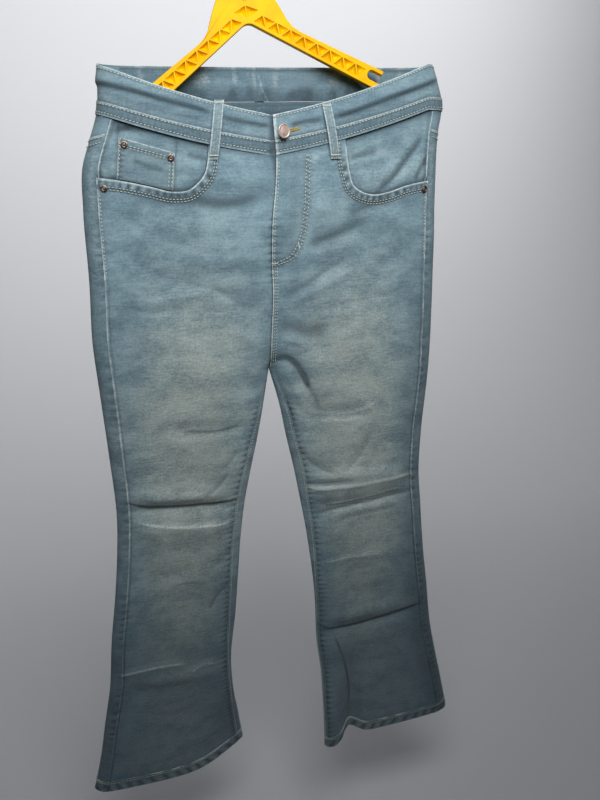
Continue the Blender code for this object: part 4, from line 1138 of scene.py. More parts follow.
def front_grid(side):
    """Share and drop of each point: the columns start on the top edge and spread evenly lower down."""
    edge_x, tops = top_edge(side).T
    gap = gap_share(side, 0.1)
    by_centre = 1 - ease(np.abs(edge_x - edge_x[0]), 0, EDGE_BLEND)
    by_side = 1 - ease(np.abs(edge_x - edge_x[-1]), 0, EDGE_BLEND)

    def column_shares(drop):
        x = edge_x + by_centre * (centre_x(drop) - edge_x[0])
        x = x + by_side * (seam_x(side, drop) - seam_x(side, tops[-1]))
        return share_at(side, "front", x, drop)

    shares, drops = [], []
    upper = int((LEVEL_UNDER_SCOOP - tops[0]) / CLOTH_STEP)
    for part in np.linspace(0, 1, upper + 1)[:-1]:
        drop = tops + (LEVEL_UNDER_SCOOP - tops) * part
        share = column_shares(drop)
        share[0], share[-1] = gap, side_seam(side, drop[-1]) - gap
        shares.append(share)
        drops.append(drop)
    low, high = gap, side_seam(side, LEVEL_UNDER_SCOOP) - gap
    tight = column_shares(np.full(len(tops), LEVEL_UNDER_SCOOP))
    tight = np.clip((tight - low) / (high - low), 0, 1)
    tight[0], tight[-1] = 0, 1
    even = np.linspace(0, 1, len(tight))
    lower = int((PANEL_FOOT - LEVEL_UNDER_SCOOP) / CLOTH_STEP)
    for drop in np.linspace(LEVEL_UNDER_SCOOP, PANEL_FOOT, lower):
        mix = ease(drop, LEVEL_UNDER_SCOOP, EVEN_DROP)
        low, high = inseam(side, drop) + gap, side_seam(side, drop) - gap
        shares.append(low + (high - low) * (tight * (1 - mix) + even * mix))
        drops.append(np.full(len(tight), drop))
    return np.array(shares), np.array(drops)


# %% What lies on the front panels
def mouth_marks(side, x, drop):
    """The pocket mouth's turned edge, gathered between its two sewn grooves: height, wear and shade."""
    away, along = from_scoop(side, x, drop)
    mouth = ease(along, 0.002, 0.012)
    roll = 0.0010 * bell(away - 0.0012, 0.0024) + 0.0007 * (1 - ease(away, 0.0080, 0.0115))
    gathers = np.sin(2 * np.pi * along / 0.0090 + 2.2 * np.sin(along * 83)) * bell(away - 0.0052, 0.0028)
    gathers = gathers * (0.78 + 0.22 * np.sin(along * 151 + 2.0))
    groove = bell(away - MOUTH_ROWS[0], 0.0011) + bell(away - MOUTH_ROWS[1], 0.0011)
    height = mouth * (roll + 0.00055 * gathers - 0.0003 * groove)
    wear = mouth * (0.80 * bell(away, 0.0018) + 0.60 * peaks(gathers))
    # Painted shade between the gathers, in the sewn grooves and beside the rows.
    shade = mouth * (1.40 * peaks(-gathers) + 0.60 * groove + 0.30 * bell(away - 0.0105, 0.0042))
    under_band = drop - front_line(x, BAND_SIDE, BAND_FRONT)
    # Painted shadow under the waistband.
    shade += 0.60 * bell(under_band, 0.0045)
    wear += 0.20 * bell(under_band - 0.010, 0.006) * (away > 0.01)
    return np.stack([height, wear, shade])


def side_edge_marks(side, x, drop):
    """The front's edge stands over the side seam and is rubbed pale: height, wear and no shade."""
    from_side = np.abs(x - seam_x(side, drop))
    roll = bell(from_side - 0.0008, 0.0016) * (drop > LEVEL_UNDER_SCOOP - 0.04)
    uneven = 0.75 + 0.25 * np.sin(drop * 47) * np.sin(drop * 131 + 1)
    return np.stack([0.0008 * roll, 0.95 * roll * uneven * (1 - 0.5 * ease(drop, 0.55, 0.8)), 0 * roll])


def fly_marks(side, x, drop):
    """The fly and the crotch seam: height, wear and shade."""
    from_centre = side * (x - centre_x(drop))
    fly = ease(drop, FLY_TOP, FLY_TOP + 0.006) * (1 - ease(drop, FLY_FOOT - 0.012, FLY_FOOT + 0.004))
    seat = (drop < CROTCH + 0.004) * ease(drop, FLY_TOP, FLY_TOP + 0.006)
    pull = np.sin(2 * np.pi * (drop / 0.0092 + 0.22 * np.sin(drop * 50)))
    pull = pull * np.exp(-np.abs(from_centre - (0.003 if side == LEFT else 0.0)) / 0.0065)
    low_fly = ease(drop, 0.155, 0.185) * (1 - ease(drop, 0.226, 0.262))
    height = seat * 0.0006 * pull * low_fly
    # Painted shade between the puckers of the crotch seam.
    shade = seat * (0.20 * ease(drop, 0.13, 0.16) + 0.85 * low_fly) * peaks(-pull)
    if side == RIGHT:
        height -= seat * 0.0006 * bell(from_centre, 0.006)
        # Painted shade in the seam under the left panel's lap, and a painted shadow in the gap at the fly's
        # top.
        shade += seat * 0.55 * bell(from_centre, 0.0018)
        shade += 0.9 * bell(from_centre, 0.005) * ease(drop, 0.090, 0.100) * (1 - ease(drop, 0.108, 0.126))
        return np.stack([height, 0 * height, shade])
    height += fly * 0.0011 * (1 - ease(from_centre, FLY_WIDE - 0.008, FLY_WIDE + 0.004))
    height += seat * 0.0006 * bell(from_centre, 0.0030)
    wear = seat * 0.95 * bell(from_centre, 0.0016)
    # Painted shadow of the fly's lap, and painted shade lower down the fly.
    shade += fly * 0.26 * bell(from_centre - 0.026, 0.007)
    shade += fly * 0.30 * ease(drop, 0.140, 0.185) * bell(from_centre - 0.012, 0.012)
    from_j, j_along = from_line(x, drop, J_CURVE)
    beside_j = np.abs(from_j) - 0.001
    beat = np.sin(2 * np.pi * (drop - 0.4 * x) / 0.0064 + 2 * np.sin(drop * 70))
    sewn = ease(j_along, -0.01, 0.02)
    height += sewn * 0.0004 * beat * bell(from_j, 0.0045)
    wear += sewn * 0.45 * peaks(-beat) * bell(beside_j, 0.0030)
    wear += sewn * 0.22 * bell(from_centre - FLY_WIDE - 0.012, 0.006) * (drop < 0.2)
    # Painted shade beside the J's puckers.
    shade += sewn * (0.30 + 0.45 * peaks(beat)) * bell(beside_j, 0.0038)
    return np.stack([height, wear, shade])


def front_panel(side):
    share, drop = front_grid(side)
    x = form(side, share, drop)[0][..., 0]
    marks = mouth_marks(side, x, drop) + side_edge_marks(side, x, drop) + fly_marks(side, x, drop)
    return cloth("front_panel" + CLOTH_NAMES[side], side, share, drop, DENIM, 0.0, *marks)


front_panels = {side: front_panel(side) for side in (RIGHT, LEFT)}

# %% [markdown]
# ## Back panels and yokes
# The back of each leg wraps round both folds, so its seams lie on the front, and the narrow strips
# outside the side seams belong to it. The yoke is the shallow V between the back panels and the
# waistband. Nobody sees the backs in the photo: they are finished as such jeans are.

# %% Back panels and yokes
BACK_STEP = 0.0030
BACK_COLUMNS = 87
YOKE_ROWS = 18


def yoke_line(f):
    """The drop of the yoke's foot, from the side seam (0) to the centre back (1)."""
    return YOKE_SIDE + (YOKE_BACK - YOKE_SIDE) * f


def back_row(side, f, drop):
    """The share of a place on the back panel, from the side seam (0) to the far edge (1)."""
    low = side_seam(side, drop) + gap_share(side, drop)
    high = 1 + inseam(side, drop) - gap_share(side, drop)
    return low + (high - low) * f


def back_panel(side):
    f = np.linspace(0, 1, BACK_COLUMNS)
    tops = yoke_line(f) + SEAM_GAP
    parts = np.linspace(0, 1, int((LEVEL_UNDER_SCOOP - tops[0]) / BACK_STEP) + 1)[:-1]
    drop = [tops + (LEVEL_UNDER_SCOOP - tops) * part for part in parts]
    lower = int((PANEL_FOOT - LEVEL_UNDER_SCOOP) / BACK_STEP)
    for level in np.linspace(LEVEL_UNDER_SCOOP, PANEL_FOOT, lower):
        drop.append(np.full(len(f), level))
    drop = np.array(drop)
    share = back_row(side, f, drop)
    from_top = drop - tops
    from_centre = (1 - share) * loop_length(side, drop)
    seat = (drop < CROTCH) * (side == LEFT)
    height = 0.0006 * bell(from_top, 0.0025) + seat * 0.0005 * bell(from_centre, 0.003)
    wear = 0.75 * bell(from_top, 0.0016) + seat * 0.6 * bell(from_centre, 0.0018)
    # Painted shade below the yoke's seam.
    shade = 0.25 * bell(from_top - 0.010, 0.005)
    return cloth("back_panel" + CLOTH_NAMES[side], side, share, drop, DENIM, 0.0, height, wear, shade)


def yoke(side):
    f = np.linspace(0, 1, BACK_COLUMNS)
    foot = yoke_line(f)
    start = back_row(side, f, np.full(len(f), BAND_SIDE))
    top = band_line(side, start, BAND_SIDE, BAND_FRONT) + 1.5 * SEAM_GAP
    drop = np.array([top + (foot - top) * part for part in np.linspace(0, 1, YOKE_ROWS)])
    # Painted shade under the waistband and above the yoke's seam.
    shade = 0.45 * bell(drop - top, 0.004) + 0.3 * bell(foot - drop, 0.0025)
    return cloth("yoke" + CLOTH_NAMES[side], side, back_row(side, f, drop), drop, DENIM, shade=shade)


back_panels = {side: back_panel(side) for side in (RIGHT, LEFT)}
yokes = {side: yoke(side) for side in (RIGHT, LEFT)}

# %% [markdown]
# ## Hems
# A hem is folded up twice and sewn round. The two edges never feed evenly through the machine, so the
# fold twists into slanting ropes, and washing wears the top of each rope pale.

# %% Hems
ROPE_PITCH, HEM_CLOTH, HEM_LIFT = 0.019, 0.0026, 0.0004
HEM_TOP = HEM_END - HEM_TALL
HEM_ROW = 0.0030
HEM_COLUMNS, HEM_ROWS = 191, 13


def hem(side):
    share, drop = np.meshgrid(np.linspace(0, 1, HEM_COLUMNS), np.linspace(HEM_TOP, HEM_END, HEM_ROWS))
    turns = np.round(loop_length(side, HEM_END) / ROPE_PITCH)
    twist = 2 * np.pi * (share * turns + (drop - HEM_END) / 0.030) + 0.9 * np.sin(2 * np.pi * share * 5)
    rope = np.sin(twist)
    inside = ease(drop, HEM_TOP + 0.002, HEM_END - 0.009)
    from_top = drop - HEM_TOP
    top = bell(from_top, 0.0016)
    height = 0.00045 * rope * inside + 0.0004 * top
    wear = 0.7 * top * (0.4 + 0.6 * peaks(np.sin(twist * 0.5 + 1)))
    wear += 0.35 * peaks(rope) * inside
    wear += 0.45 * bell(drop - HEM_END, 0.0016) * peaks(rope + 0.5)
    rubbed = peaks(np.sin(share * 61 + 3 * np.sin(share * 23)))
    wear += 1.3 * rubbed * bell(from_top - 0.0010, 0.0024)
    # Painted shade between the ropes and in the sewn groove.
    shade = 0.55 * peaks(-rope) * inside + 0.55 * bell(from_top - HEM_ROW, 0.0012)
    name = "hem" + CLOTH_NAMES[side]
    return cloth(name, side, share, drop, HEM_CLOTH, HEM_LIFT, height, wear, shade, ring=True)


hems = {side: hem(side) for side in (RIGHT, LEFT)}

# %% [markdown]
# ## Waistband
# The waistband is one wide strip with a narrower one under it. It buttons left over right, so the right
# end dives under the left one, into painted shadow. Wearing has rolled the wide strip over along a crease
# below its top edge, with painted shade under the crease, and the back, which shows from inside, is
# crumpled, with pale streaks on its ridges and painted shade that deepens towards its foot.

# %% Waistband
BAND_STEP, UNDER_COLUMNS = 0.0024, 9


def split_share(side):
    """The share of the waistband's side seam, a little way on to the back."""
    at = np.array(REFERENCE)
    return float(fold_share(side, at) + BAND_SPLIT / loop_length(side, at))


def spaced(start, end, side):
    """Shares from one to another, a step of the band's grid apart."""
    count = int(abs(end - start) * float(loop_length(side, REFERENCE)) / BAND_STEP)
    return np.linspace(start, end, count)


def band_places(part):
    """Side and share of each column of the right front, left front or back of the band."""
    gap = float(gap_share(LEFT, REFERENCE))
    edge_x = float(centre_x(REFERENCE))
    if part == "left":
        share = spaced(gap, split_share(LEFT) - gap, LEFT)
        return np.full(len(share), LEFT), share
    if part == "right":
        under_x = edge_x + np.linspace(0.024, 0.004, UNDER_COLUMNS)
        under = share_at(LEFT, "front", under_x, np.full(UNDER_COLUMNS, REFERENCE))
        share = spaced(0.0, split_share(RIGHT) - gap, RIGHT)
        sides = np.concatenate([np.full(len(under), LEFT), np.full(len(share), RIGHT)])
        return sides, np.concatenate([under, share])
    first = spaced(split_share(RIGHT) + gap, 1.0, RIGHT)
    second = spaced(1.0, split_share(LEFT) + gap, LEFT)[1:]
    sides = np.concatenate([np.full(len(first), RIGHT), np.full(len(second), LEFT)])
    return sides, np.concatenate([first, second])


def band_grid(part, top, foot, rows):
    """Side, share and drop of each point; top and foot are drops (at the sides, at the front)."""
    sides, share = band_places(part)
    parts = np.linspace(0, 1, rows)[:, None]
    lines = np.array(top) + (np.array(foot) - np.array(top)) * parts
    drop = np.array([band_line(sides, share, at_sides, at_front) for at_sides, at_front in lines])
    return np.tile(sides, (rows, 1)), np.tile(share, (rows, 1)), drop


# rise, above, below, shade (painted shade along the line), points, as in CREASES
BAND_CREASES = [
    (2.0, 9, 3.0, 1.00, [(-196, 12), (-165, 21), (-130, 30), (-105, 37), (-69, 46), (-44, 53)]),
    (1.5, 7, 2.8, 0.65, [(-42, 55), (-20, 60), (2, 64), (18, 66)]),
    (1.4, 7, 2.8, 0.60, [(38, 66), (55, 62), (80, 59)]),
    (2.3, 10, 3.0, 1.05, [(84, 59), (110, 53), (140, 44), (165, 36), (192, 28), (234, 14)]),
    (-1.2, 4, 5, 0.35, [(-168, 33), (-120, 47), (-80, 58), (-50, 63)]),
    (-1.0, 4, 4, 0.30, [(100, 64), (140, 54), (190, 38)]),
]


def extra_creases(rows, x, drop, step, soft_ends, line_wide, line_below=0.0):
    """Height and painted shade that a piece's own creases add, in rows like those of CREASES."""
    height, shade = np.zeros(x.shape), np.zeros(x.shape)
    for rise, above, below, dark, line in rows:
        away, along = from_line(x, drop, curve_through(np.array(line) * MM, step))
        ends = ease(np.minimum(along, 1 - along), -0.02, soft_ends)
        height += rise * MM * ends * bell(away, np.where(away < 0, above, below) * MM)
        shade += dark * ends * bell(away - line_below, line_wide)
    return height, shade


def band_relief(x, drop, share, side):
    """The crease along the front of the band, and a softer one along its back: height and painted shade."""
    front = share < fold_share(side, drop)
    height, shade = extra_creases(BAND_CREASES, x, drop, 0.006, 0.15, 0.0028, 0.001)
    back_fold = 0.016 + 0.003 * np.sin(x * 30)
    back_height = 0.0010 * bell(drop - back_fold, np.where(drop < back_fold, 0.008, 0.003))
    back_shade = 0.4 * bell(drop - back_fold - 0.001, 0.002)
    return np.where(front, height, back_height), np.where(front, shade, back_shade)


# %% What lies on the waistband
def wide_strip_marks(x, drop, share, side, from_top, from_foot):
    """The wide strip: its crease, its turned top edge and the seam at its foot."""
    height, shade = band_relief(x, drop, share, side)
    height -= 0.0006 * bell(from_top, 0.0012)
    wear = 0.85 * bell(from_top, 0.0016) + 0.25 * bell(from_foot - 0.006, 0.004)
    # The whole strip is a little darker; painted shade along the seam at its foot and in the groove under
    # its top edge.
    shade += 0.20 + 0.55 * bell(from_foot, 0.0020) + 0.50 * bell(from_top - 0.0036, 0.0012)
    return height, wear, shade


def narrow_strip_marks(x, from_top, from_foot):
    """The narrow strip: two sewn grooves, with small ticks where the needle pulled."""
    ticks = np.sin(2 * np.pi * x / 0.0065 + 2 * np.sin(x * 70))
    groove = bell(from_top - 0.0030, 0.0011) + bell(from_foot - 0.0034, 0.0011)
    height = 0.0004 * bell(from_top - 0.002, 0.0025) - 0.0002 * groove
    wear = 0.75 * bell(from_top - 0.0006, 0.0013) + 0.45 * bell(from_foot - 0.0006, 0.0013)
    wear += 0.25 * peaks(-ticks) * bell(from_top - 0.0075, 0.0025)
    # The strip is darker all over and between its rows; painted shade in the grooves and on the ticks.
    shade = 0.34 + 0.22 * bell(from_top - 0.0075, 0.003) + 0.60 * groove
    shade += peaks(ticks) * (0.25 * groove + 0.20 * bell(from_top - 0.0075, 0.004))
    return height, wear, shade


def inside_tones(x, t, from_top, crumple, narrow):
    """The tones of the back's inner face, which shows over the front: pale streaks, and painted shade."""
    streak = np.clip(np.sin(x * 160 + 3 * np.sin(x * 41)), 0.35, 1) - 0.35
    wear = 0.75 * streak * bell(t - 0.35, 0.35) + 0.5 * bell(from_top, 0.0020)
    wear += 0.55 * bell(x - 0.0115 - 0.010 * t * t, 0.0016) * ease(t, 0.1, 0.3)
    # Painted shade over the whole inner face, in a line under its top edge, towards its foot and in the
    # crumples.
    shade = 0.42 + 0.50 * bell(from_top - 0.0040, 0.0012) + 0.55 * ease(t, 0.45, 1.1)
    shade += 0.50 * peaks(crumple)
    # On the narrow strip, more painted shade.
    if narrow:
        wear = 0.15 * bell(from_top, 0.0012)
        shade += 0.3
    return np.stack([np.zeros_like(x), wear, shade], axis=-1)


def band_piece(name, part, top, foot, rows, lift, wall):
    side, share, drop = band_grid(part, top, foot, rows)
    x = form(side, share, drop)[0][..., 0]
    t = np.linspace(0, 1, rows)[:, None] * np.ones_like(share)
    from_top, from_foot = t * (foot[0] - top[0]), (1 - t) * (foot[0] - top[0])
    narrow = name == "lower_band"
    inside = INSIDE_PAINTED_SHADE
    if narrow:
        height, wear, shade = narrow_strip_marks(x, from_top, from_foot)
    else:
        height, wear, shade = wide_strip_marks(x, drop, share, side, from_top, from_foot)
    if part == "left":
        from_end = x - x[:, :1]
        height = height * ease(from_end, 0.0, 0.006) - 0.0004 * bell(from_end, 0.001)
        wear += 0.9 * bell(from_end - 0.0012, 0.0022)
    if part == "right":
        edge_x = float(centre_x(REFERENCE))
        low = lift - wall - LAYER_GAP
        lift = low + (lift - low) * ease(edge_x - x, 0.001, 0.016)
        # Painted shadow where the right end dives under the left one.
        shade += 0.85 * ease(x, edge_x - 0.006, edge_x)
    if part == "back":
        crumple = np.sin(2 * np.pi * x / 0.031 + 2.6 * np.sin(x * 53) + 60 * drop) * ease(t, 0.30, 0.85)
        height -= 0.0012 * crumple
        inside = inside_tones(x, t, from_top, crumple, narrow)
    piece_name = name + "_" + part + "_cloth"
    return cloth(piece_name, side, share, drop, wall, lift, height, wear, shade, fade=0.15, inside=inside)


BAND_ROWS, STRIP_ROWS = 22, 12
STRIP_CLOTH = BAND_CLOTH + 0.0004
band_top, band_foot = (0.0, DIP), (STRIP_SIDE - SEAM_GAP, STRIP_FRONT - SEAM_GAP)
strip_top, strip_foot = (STRIP_SIDE, STRIP_FRONT), (BAND_SIDE, BAND_FRONT)
bands = {}
for part in ("right", "left", "back"):
    bands["waistband_" + part] = band_piece(
        "waistband", part, band_top, band_foot, BAND_ROWS, BAND_LIFT, BAND_CLOTH
    )
    bands["lower_band_" + part] = band_piece(
        "lower_band", part, strip_top, strip_foot, STRIP_ROWS, STRIP_LIFT, STRIP_CLOTH
    )

# %% [markdown]
# ## Pocket facings and the coin pocket
# The facing is the piece of denim that shows in the pocket's mouth, a layer behind the panel. It is
# loose there, so it buckles: the left one has two deep slanting folds. The right one carries a coin
# pocket, sewn with two rows and held by two rivets.

# %% Facings and coin pocket
FACING_END, FACING_UNDERLAP = 0.172, 0.018
FACING_LIFT = -DENIM - LAYER_GAP
COIN_LIFT = FACING_LIFT + LAYER_GAP + POCKET_CLOTH
FACING_COLUMNS, FACING_ROWS, COIN_COLUMNS, COIN_ROWS = 56, 48, 30, 26
# rise, above, below, shade (painted shade along the line), points, as in CREASES
FACING_CREASES = {
    LEFT: [
        (-2.4, 5, 6, 0.85, [(214, 76), (203, 92), (190, 108), (166, 134), (148, 146)]),
        (1.1, 7, 7, 0.0, [(205, 78), (190, 95), (170, 118), (150, 132)]),
        (-1.5, 3, 4, 0.75, [(221, 100), (212, 116), (203, 134)]),
        (-1.3, 4, 5, 0.55, [(112, 106), (128, 102), (152, 97)]),
        (1.0, 6, 6, 0.0, [(118, 96), (150, 88), (185, 76)]),
    ],
    RIGHT: [
        (-1.8, 4, 5, 0.55, [(-167, 72), (-140, 67), (-112, 69), (-92, 75)]),
        (1.0, 6, 6, 0.0, [(-160, 82), (-120, 80), (-90, 86)]),
        (-1.2, 3, 4, 0.55, [(-82, 95), (-70, 99), (-58, 102)]),
        (-1.0, 5, 5, 0.3, [(-172, 100), (-168, 112), (-160, 122)]),
    ],
}
COIN_TOP = [(-0.1536, 0.0760), (-0.0939, 0.0937)]
COIN_FOOT_X = (-0.1600, -0.0985)
# rise, above, below, shade (painted shade along the line), points, as in CREASES
COIN_CREASE = (-0.8, 3, 4, 0.4, [(-143, 100), (-121, 109), (-105, 113)])


def scoop_drop(side, x):
    """The drop of the pocket's edge at some x."""
    curve = scoop_curves[side]
    order = np.argsort(curve[:, 0])
    return np.interp(x, curve[order, 0], curve[order, 1])


def coin_side_x(corner, drop, tall):
    """The x of one side of the coin pocket at a drop."""
    top_x, top_drop = COIN_TOP[corner]
    return top_x + (COIN_FOOT_X[corner] - top_x) * (drop - top_drop) / tall


def pocket_facing(side):
    begin = scoop_curves[side][0, 0] - side * FACING_UNDERLAP
    t = np.linspace(0, 1, FACING_COLUMNS)
    top = np.full(FACING_COLUMNS, 0.07)
    for _ in range(4):
        x = begin + (seam_x(side, top) - begin) * t
        top = front_line(x, BAND_SIDE, BAND_FRONT) + 3 * SEAM_GAP
    drop = np.array([top + (FACING_END - top) * part for part in np.linspace(0, 1, FACING_ROWS)])
    x = begin + (seam_x(side, drop) - side * SEAM_GAP - begin) * t
    from_top, from_side = drop - top, np.abs(x - seam_x(side, drop))
    deep = scoop_drop(side, x) - drop
    height, shade = extra_creases(FACING_CREASES[side], x, drop, 0.004, 0.18, 0.0030)
    height = height * ease(from_side, 0.0, 0.008) * ease(from_top, 0.0, 0.006)
    height -= 0.0010 * (1 - ease(deep, -0.001, 0.006))
    height -= FACING_LIFT * 0.85 * (1 - ease(from_side, 0.001, 0.008)) * ease(deep, 0.002, 0.008)
    # Painted shadow along the pocket's mouth, under the panel's edge, and under the waistband.
    shade += 0.75 * (1 - ease(deep, 0.0, 0.0050)) + 0.25 * (1 - ease(deep, 0.0, 0.015))
    shade += 0.65 * bell(from_top, 0.0050) + 0.30 * bell(from_top, 0.014)
    if side == RIGHT:
        wear = 0.14 * bell(deep - 0.018, 0.016)
        # Painted shadow beside the coin pocket's sides.
        shade += 0.5 * bell(x - coin_side_x(0, drop, 0.045) + 0.0012, 0.0018)
        shade += 0.5 * bell(x - coin_side_x(1, drop, 0.038) - 0.0012, 0.0018)
    else:
        wear = 0.26 * bell(deep - 0.020, 0.022)
    cord = bell(from_side - 0.0008, 0.0012)
    wear += 0.9 * cord
    # Painted shade beside the pale cord along the side seam.
    shade = shade * (1 - cord) + 0.55 * bell(from_side - 0.0040, 0.0014)
    share, name = share_at(side, "front", x, drop), "pocket_facing" + CLOTH_NAMES[side]
    return cloth(name, side, share, drop, POCKET_CLOTH, FACING_LIFT, height, wear, shade, fade=0.2)


def coin_pocket():
    part = np.linspace(0, 1, COIN_ROWS)[:, None]
    top_x, top_drop = np.linspace(*COIN_TOP, COIN_COLUMNS).T
    foot_x = np.linspace(*COIN_FOOT_X, COIN_COLUMNS)
    foot_drop = scoop_drop(RIGHT, foot_x) - 0.0012
    x = top_x + (foot_x - top_x) * part
    drop = top_drop + (foot_drop - top_drop) * part
    from_top, from_left, from_right = drop - top_drop, x - x[:, :1], x[:, -1:] - x
    height, shade = extra_creases([COIN_CREASE], x, drop, 0.004, 0.18, 0.0030)
    rim = bell(from_top, 0.0015) + bell(from_left, 0.0012) + bell(from_right, 0.0012)
    ticks = peaks(np.sin(drop / 0.0055 * 2 * np.pi)) * bell(from_left - 0.004, 0.003)
    groove = bell(from_top - 0.0062, 0.0011) + bell(from_top - 0.0088, 0.0011)
    # The pocket is a little darker; painted shade on the ticks, in the sewn grooves, at its foot under the
    # panel's edge, and just inside its sides.
    shade += 0.28 + 0.95 * ticks + 0.55 * groove + 0.5 * (1 - ease(foot_drop - drop, 0.0, 0.004))
    shade += 0.4 * bell(from_left - 0.0022, 0.0012) + 0.4 * bell(from_right - 0.0020, 0.0014)
    share, wear = share_at(RIGHT, "front", x, drop), 0.85 * np.clip(rim, 0, 1)
    name = "coin_pocket_cloth"
    return cloth(name, RIGHT, share, drop, POCKET_CLOTH, COIN_LIFT, height, wear, shade, fade=0.2)


facings = {side: pocket_facing(side) for side in (RIGHT, LEFT)}
coin = coin_pocket()
print("the coin pocket lies", round(COIN_LIFT * 1000, 2), "mm off the form")

# %% [markdown]
# ## Back pockets
# Plain five-sided patch pockets, as such jeans have, sewn round with two rows.

# %% Back pockets
BACK_POCKET_WIDE, BACK_POCKET_TALL, BACK_POCKET_POINT = 0.138, 0.125, 0.022
BACK_POCKET_DROP, BACK_POCKET_ACROSS, BACK_POCKET_TAPER = 0.140, 0.112, 0.10
PATCH_LIFT = LAYER_GAP + POCKET_CLOTH


def pocket_place(side, across, down):
    """x and drop of a place on a back pocket: across -0.5 to 0.5, down 0 to 1."""
    tall = BACK_POCKET_TALL + BACK_POCKET_POINT * (1 - np.abs(2 * across))
    x = SCOOP_ZERO + side * BACK_POCKET_ACROSS + across * BACK_POCKET_WIDE * (1 - BACK_POCKET_TAPER * down)
    return x, BACK_POCKET_DROP + tall * down


def back_pocket(side):
    across, down = np.meshgrid(np.linspace(-0.5, 0.5, 50), np.linspace(0, 1, 50))
    x, drop = pocket_place(side, across, down)
    edge = np.minimum(np.minimum(0.5 - np.abs(across), 1 - down), down) * BACK_POCKET_TALL
    wear = 0.8 * bell(edge, 0.0018) + 0.15 * bell(edge - 0.006, 0.004)
    height = 0.0006 * np.sin(across * 5 + down * 4) * ease(edge, 0, 0.02) - 0.0003 * bell(edge, 0.001)
    # Painted shade in a groove just inside the edge.
    shade = 0.25 * bell(edge - 0.003, 0.0015)
    share, name = share_at(side, "back", x, drop), "back_pocket" + CLOTH_NAMES[side]
    return cloth(name, side, share, drop, POCKET_CLOTH, PATCH_LIFT, height, wear, shade)


back_pockets = {side: back_pocket(side) for side in (RIGHT, LEFT)}
print("back pockets", BACK_POCKET_WIDE, "m wide")

# %% [markdown]
# ## Belt loops
# A belt loop is a strip folded in three and sewn flat, with a bar of dense stitches at each end. Its
# edges are the thickest, so they rub pale.

# %% Belt loops
LOOP_WIDE, LOOP_CLOTH = 0.0110, 0.0016
Loop = namedtuple("Loop", "name side face x0 drop0 x1 drop1")
LOOPS = [
    Loop("belt_loop_front_right", RIGHT, "front", -0.0415, 0.0400, -0.0510, 0.1020),
    Loop("belt_loop_front_left", LEFT, "front", 0.0830, 0.0440, 0.0955, 0.1045),
    Loop("belt_loop_back_right", RIGHT, "back", -0.0560, 0.0010, -0.0560, 0.0610),
    Loop("belt_loop_back_left", LEFT, "back", 0.1020, 0.0010, 0.1020, 0.0610),
    Loop("belt_loop_back_centre", RIGHT, "back", 0.0130, 0.0010, 0.0130, 0.0610),
]


def loop_clear(row, t):
    """How far a belt loop's inner face stands off the form."""
    foot = ease(t, 0.86, 1.0)
    bow = BAND_LIFT + LAYER_GAP + 0.0034 * np.sin(np.pi * t) ** 0.7
    bow = np.maximum(bow, (STRIP_LIFT + LAYER_GAP) * ease(t, 0.35, 0.5)) * (1 - foot) + LAYER_GAP * foot
    on_strip = (row.face == "front") & (foot == 0) & (t > 0.5)
    return np.where(on_strip, np.maximum(bow, STRIP_LIFT + LAYER_GAP), bow)


def loop_places(row, across, t):
    """Side, share and drop of places across (-0.5 to 0.5) and down (0 to 1) a belt loop."""
    x = row.x0 + (row.x1 - row.x0) * t + across * LOOP_WIDE
    drop = row.drop0 + (row.drop1 - row.drop0) * t
    side = np.where((x - centre_x(drop)) * row.side < 0, -row.side, row.side)
    return side, share_at(side, row.face, x, drop), drop


def belt_loop(row):
    across, t = np.meshgrid(np.linspace(-0.5, 0.5, 13), np.linspace(0, 1, 44))
    side, share, drop = loop_places(row, across, t)
    edge = (0.5 - np.abs(across)) * LOOP_WIDE
    height = loop_clear(row, t) + LOOP_CLOTH
    height -= 0.0007 * bell(edge, 0.0012) + 0.0004 * bell(edge - 0.0055, 0.0015)
    height -= relief(side, share, drop, form(side, share, drop)[0][..., 0])[0]
    ticks = 0.5 + 0.5 * np.sin(t * 70 + 2 * np.sign(across))
    wear = 0.24 + 0.55 * bell(edge - 0.0008, 0.0010) * (0.5 + 0.5 * ticks)
    # Painted shade down the middle, in the sewn grooves and on the ticks by the edges.
    shade = 0.40 * bell(edge - 0.0055, 0.0014) + 0.45 * bell(edge - 0.0024, 0.0008)
    shade += 0.35 * ticks * bell(edge, 0.003)
    return cloth(row.name + "_cloth", side, share, drop, LOOP_CLOTH, 0.0, height, wear, shade, fade=0.35)


belt_loops = {row.name: belt_loop(row) for row in LOOPS}
print(len(belt_loops), "belt loops")

# %% [markdown]
# ## Sewing
# One stitch is a small grain of thread: a sphere with few faces, flattened and drawn out. An Array
# modifier copies it as often as the sewn lines need, and each copy is then set down on the cloth, turned
# to lie along its line. Every line of one kind becomes one joined mesh.

# %% One stitch
STITCH_PITCH, STITCH_LONG, STITCH_THICK = 0.0040, 0.0029, 0.0012
STITCH_FLAT, STITCH_RAISED = 0.7, 0.18


def grain():
    """One stitch, 1 m long until its copies are set to size."""
    bpy.ops.object.select_all(action="DESELECT")
    bpy.ops.mesh.primitive_uv_sphere_add(segments=6, ring_count=4, radius=0.5)
    return bpy.context.object


sample = grain()
GRAIN_POINTS = np.array([vertex.co for vertex in sample.data.vertices])
print("a stitch has", len(sample.data.polygons), "faces")
bpy.data.objects.remove(sample)


def at_run(run, values, where):
    """Rows of values, known at some runs along a path, read at others."""
    return np.stack([np.interp(where, run, values[:, i]) for i in range(3)], axis=-1)


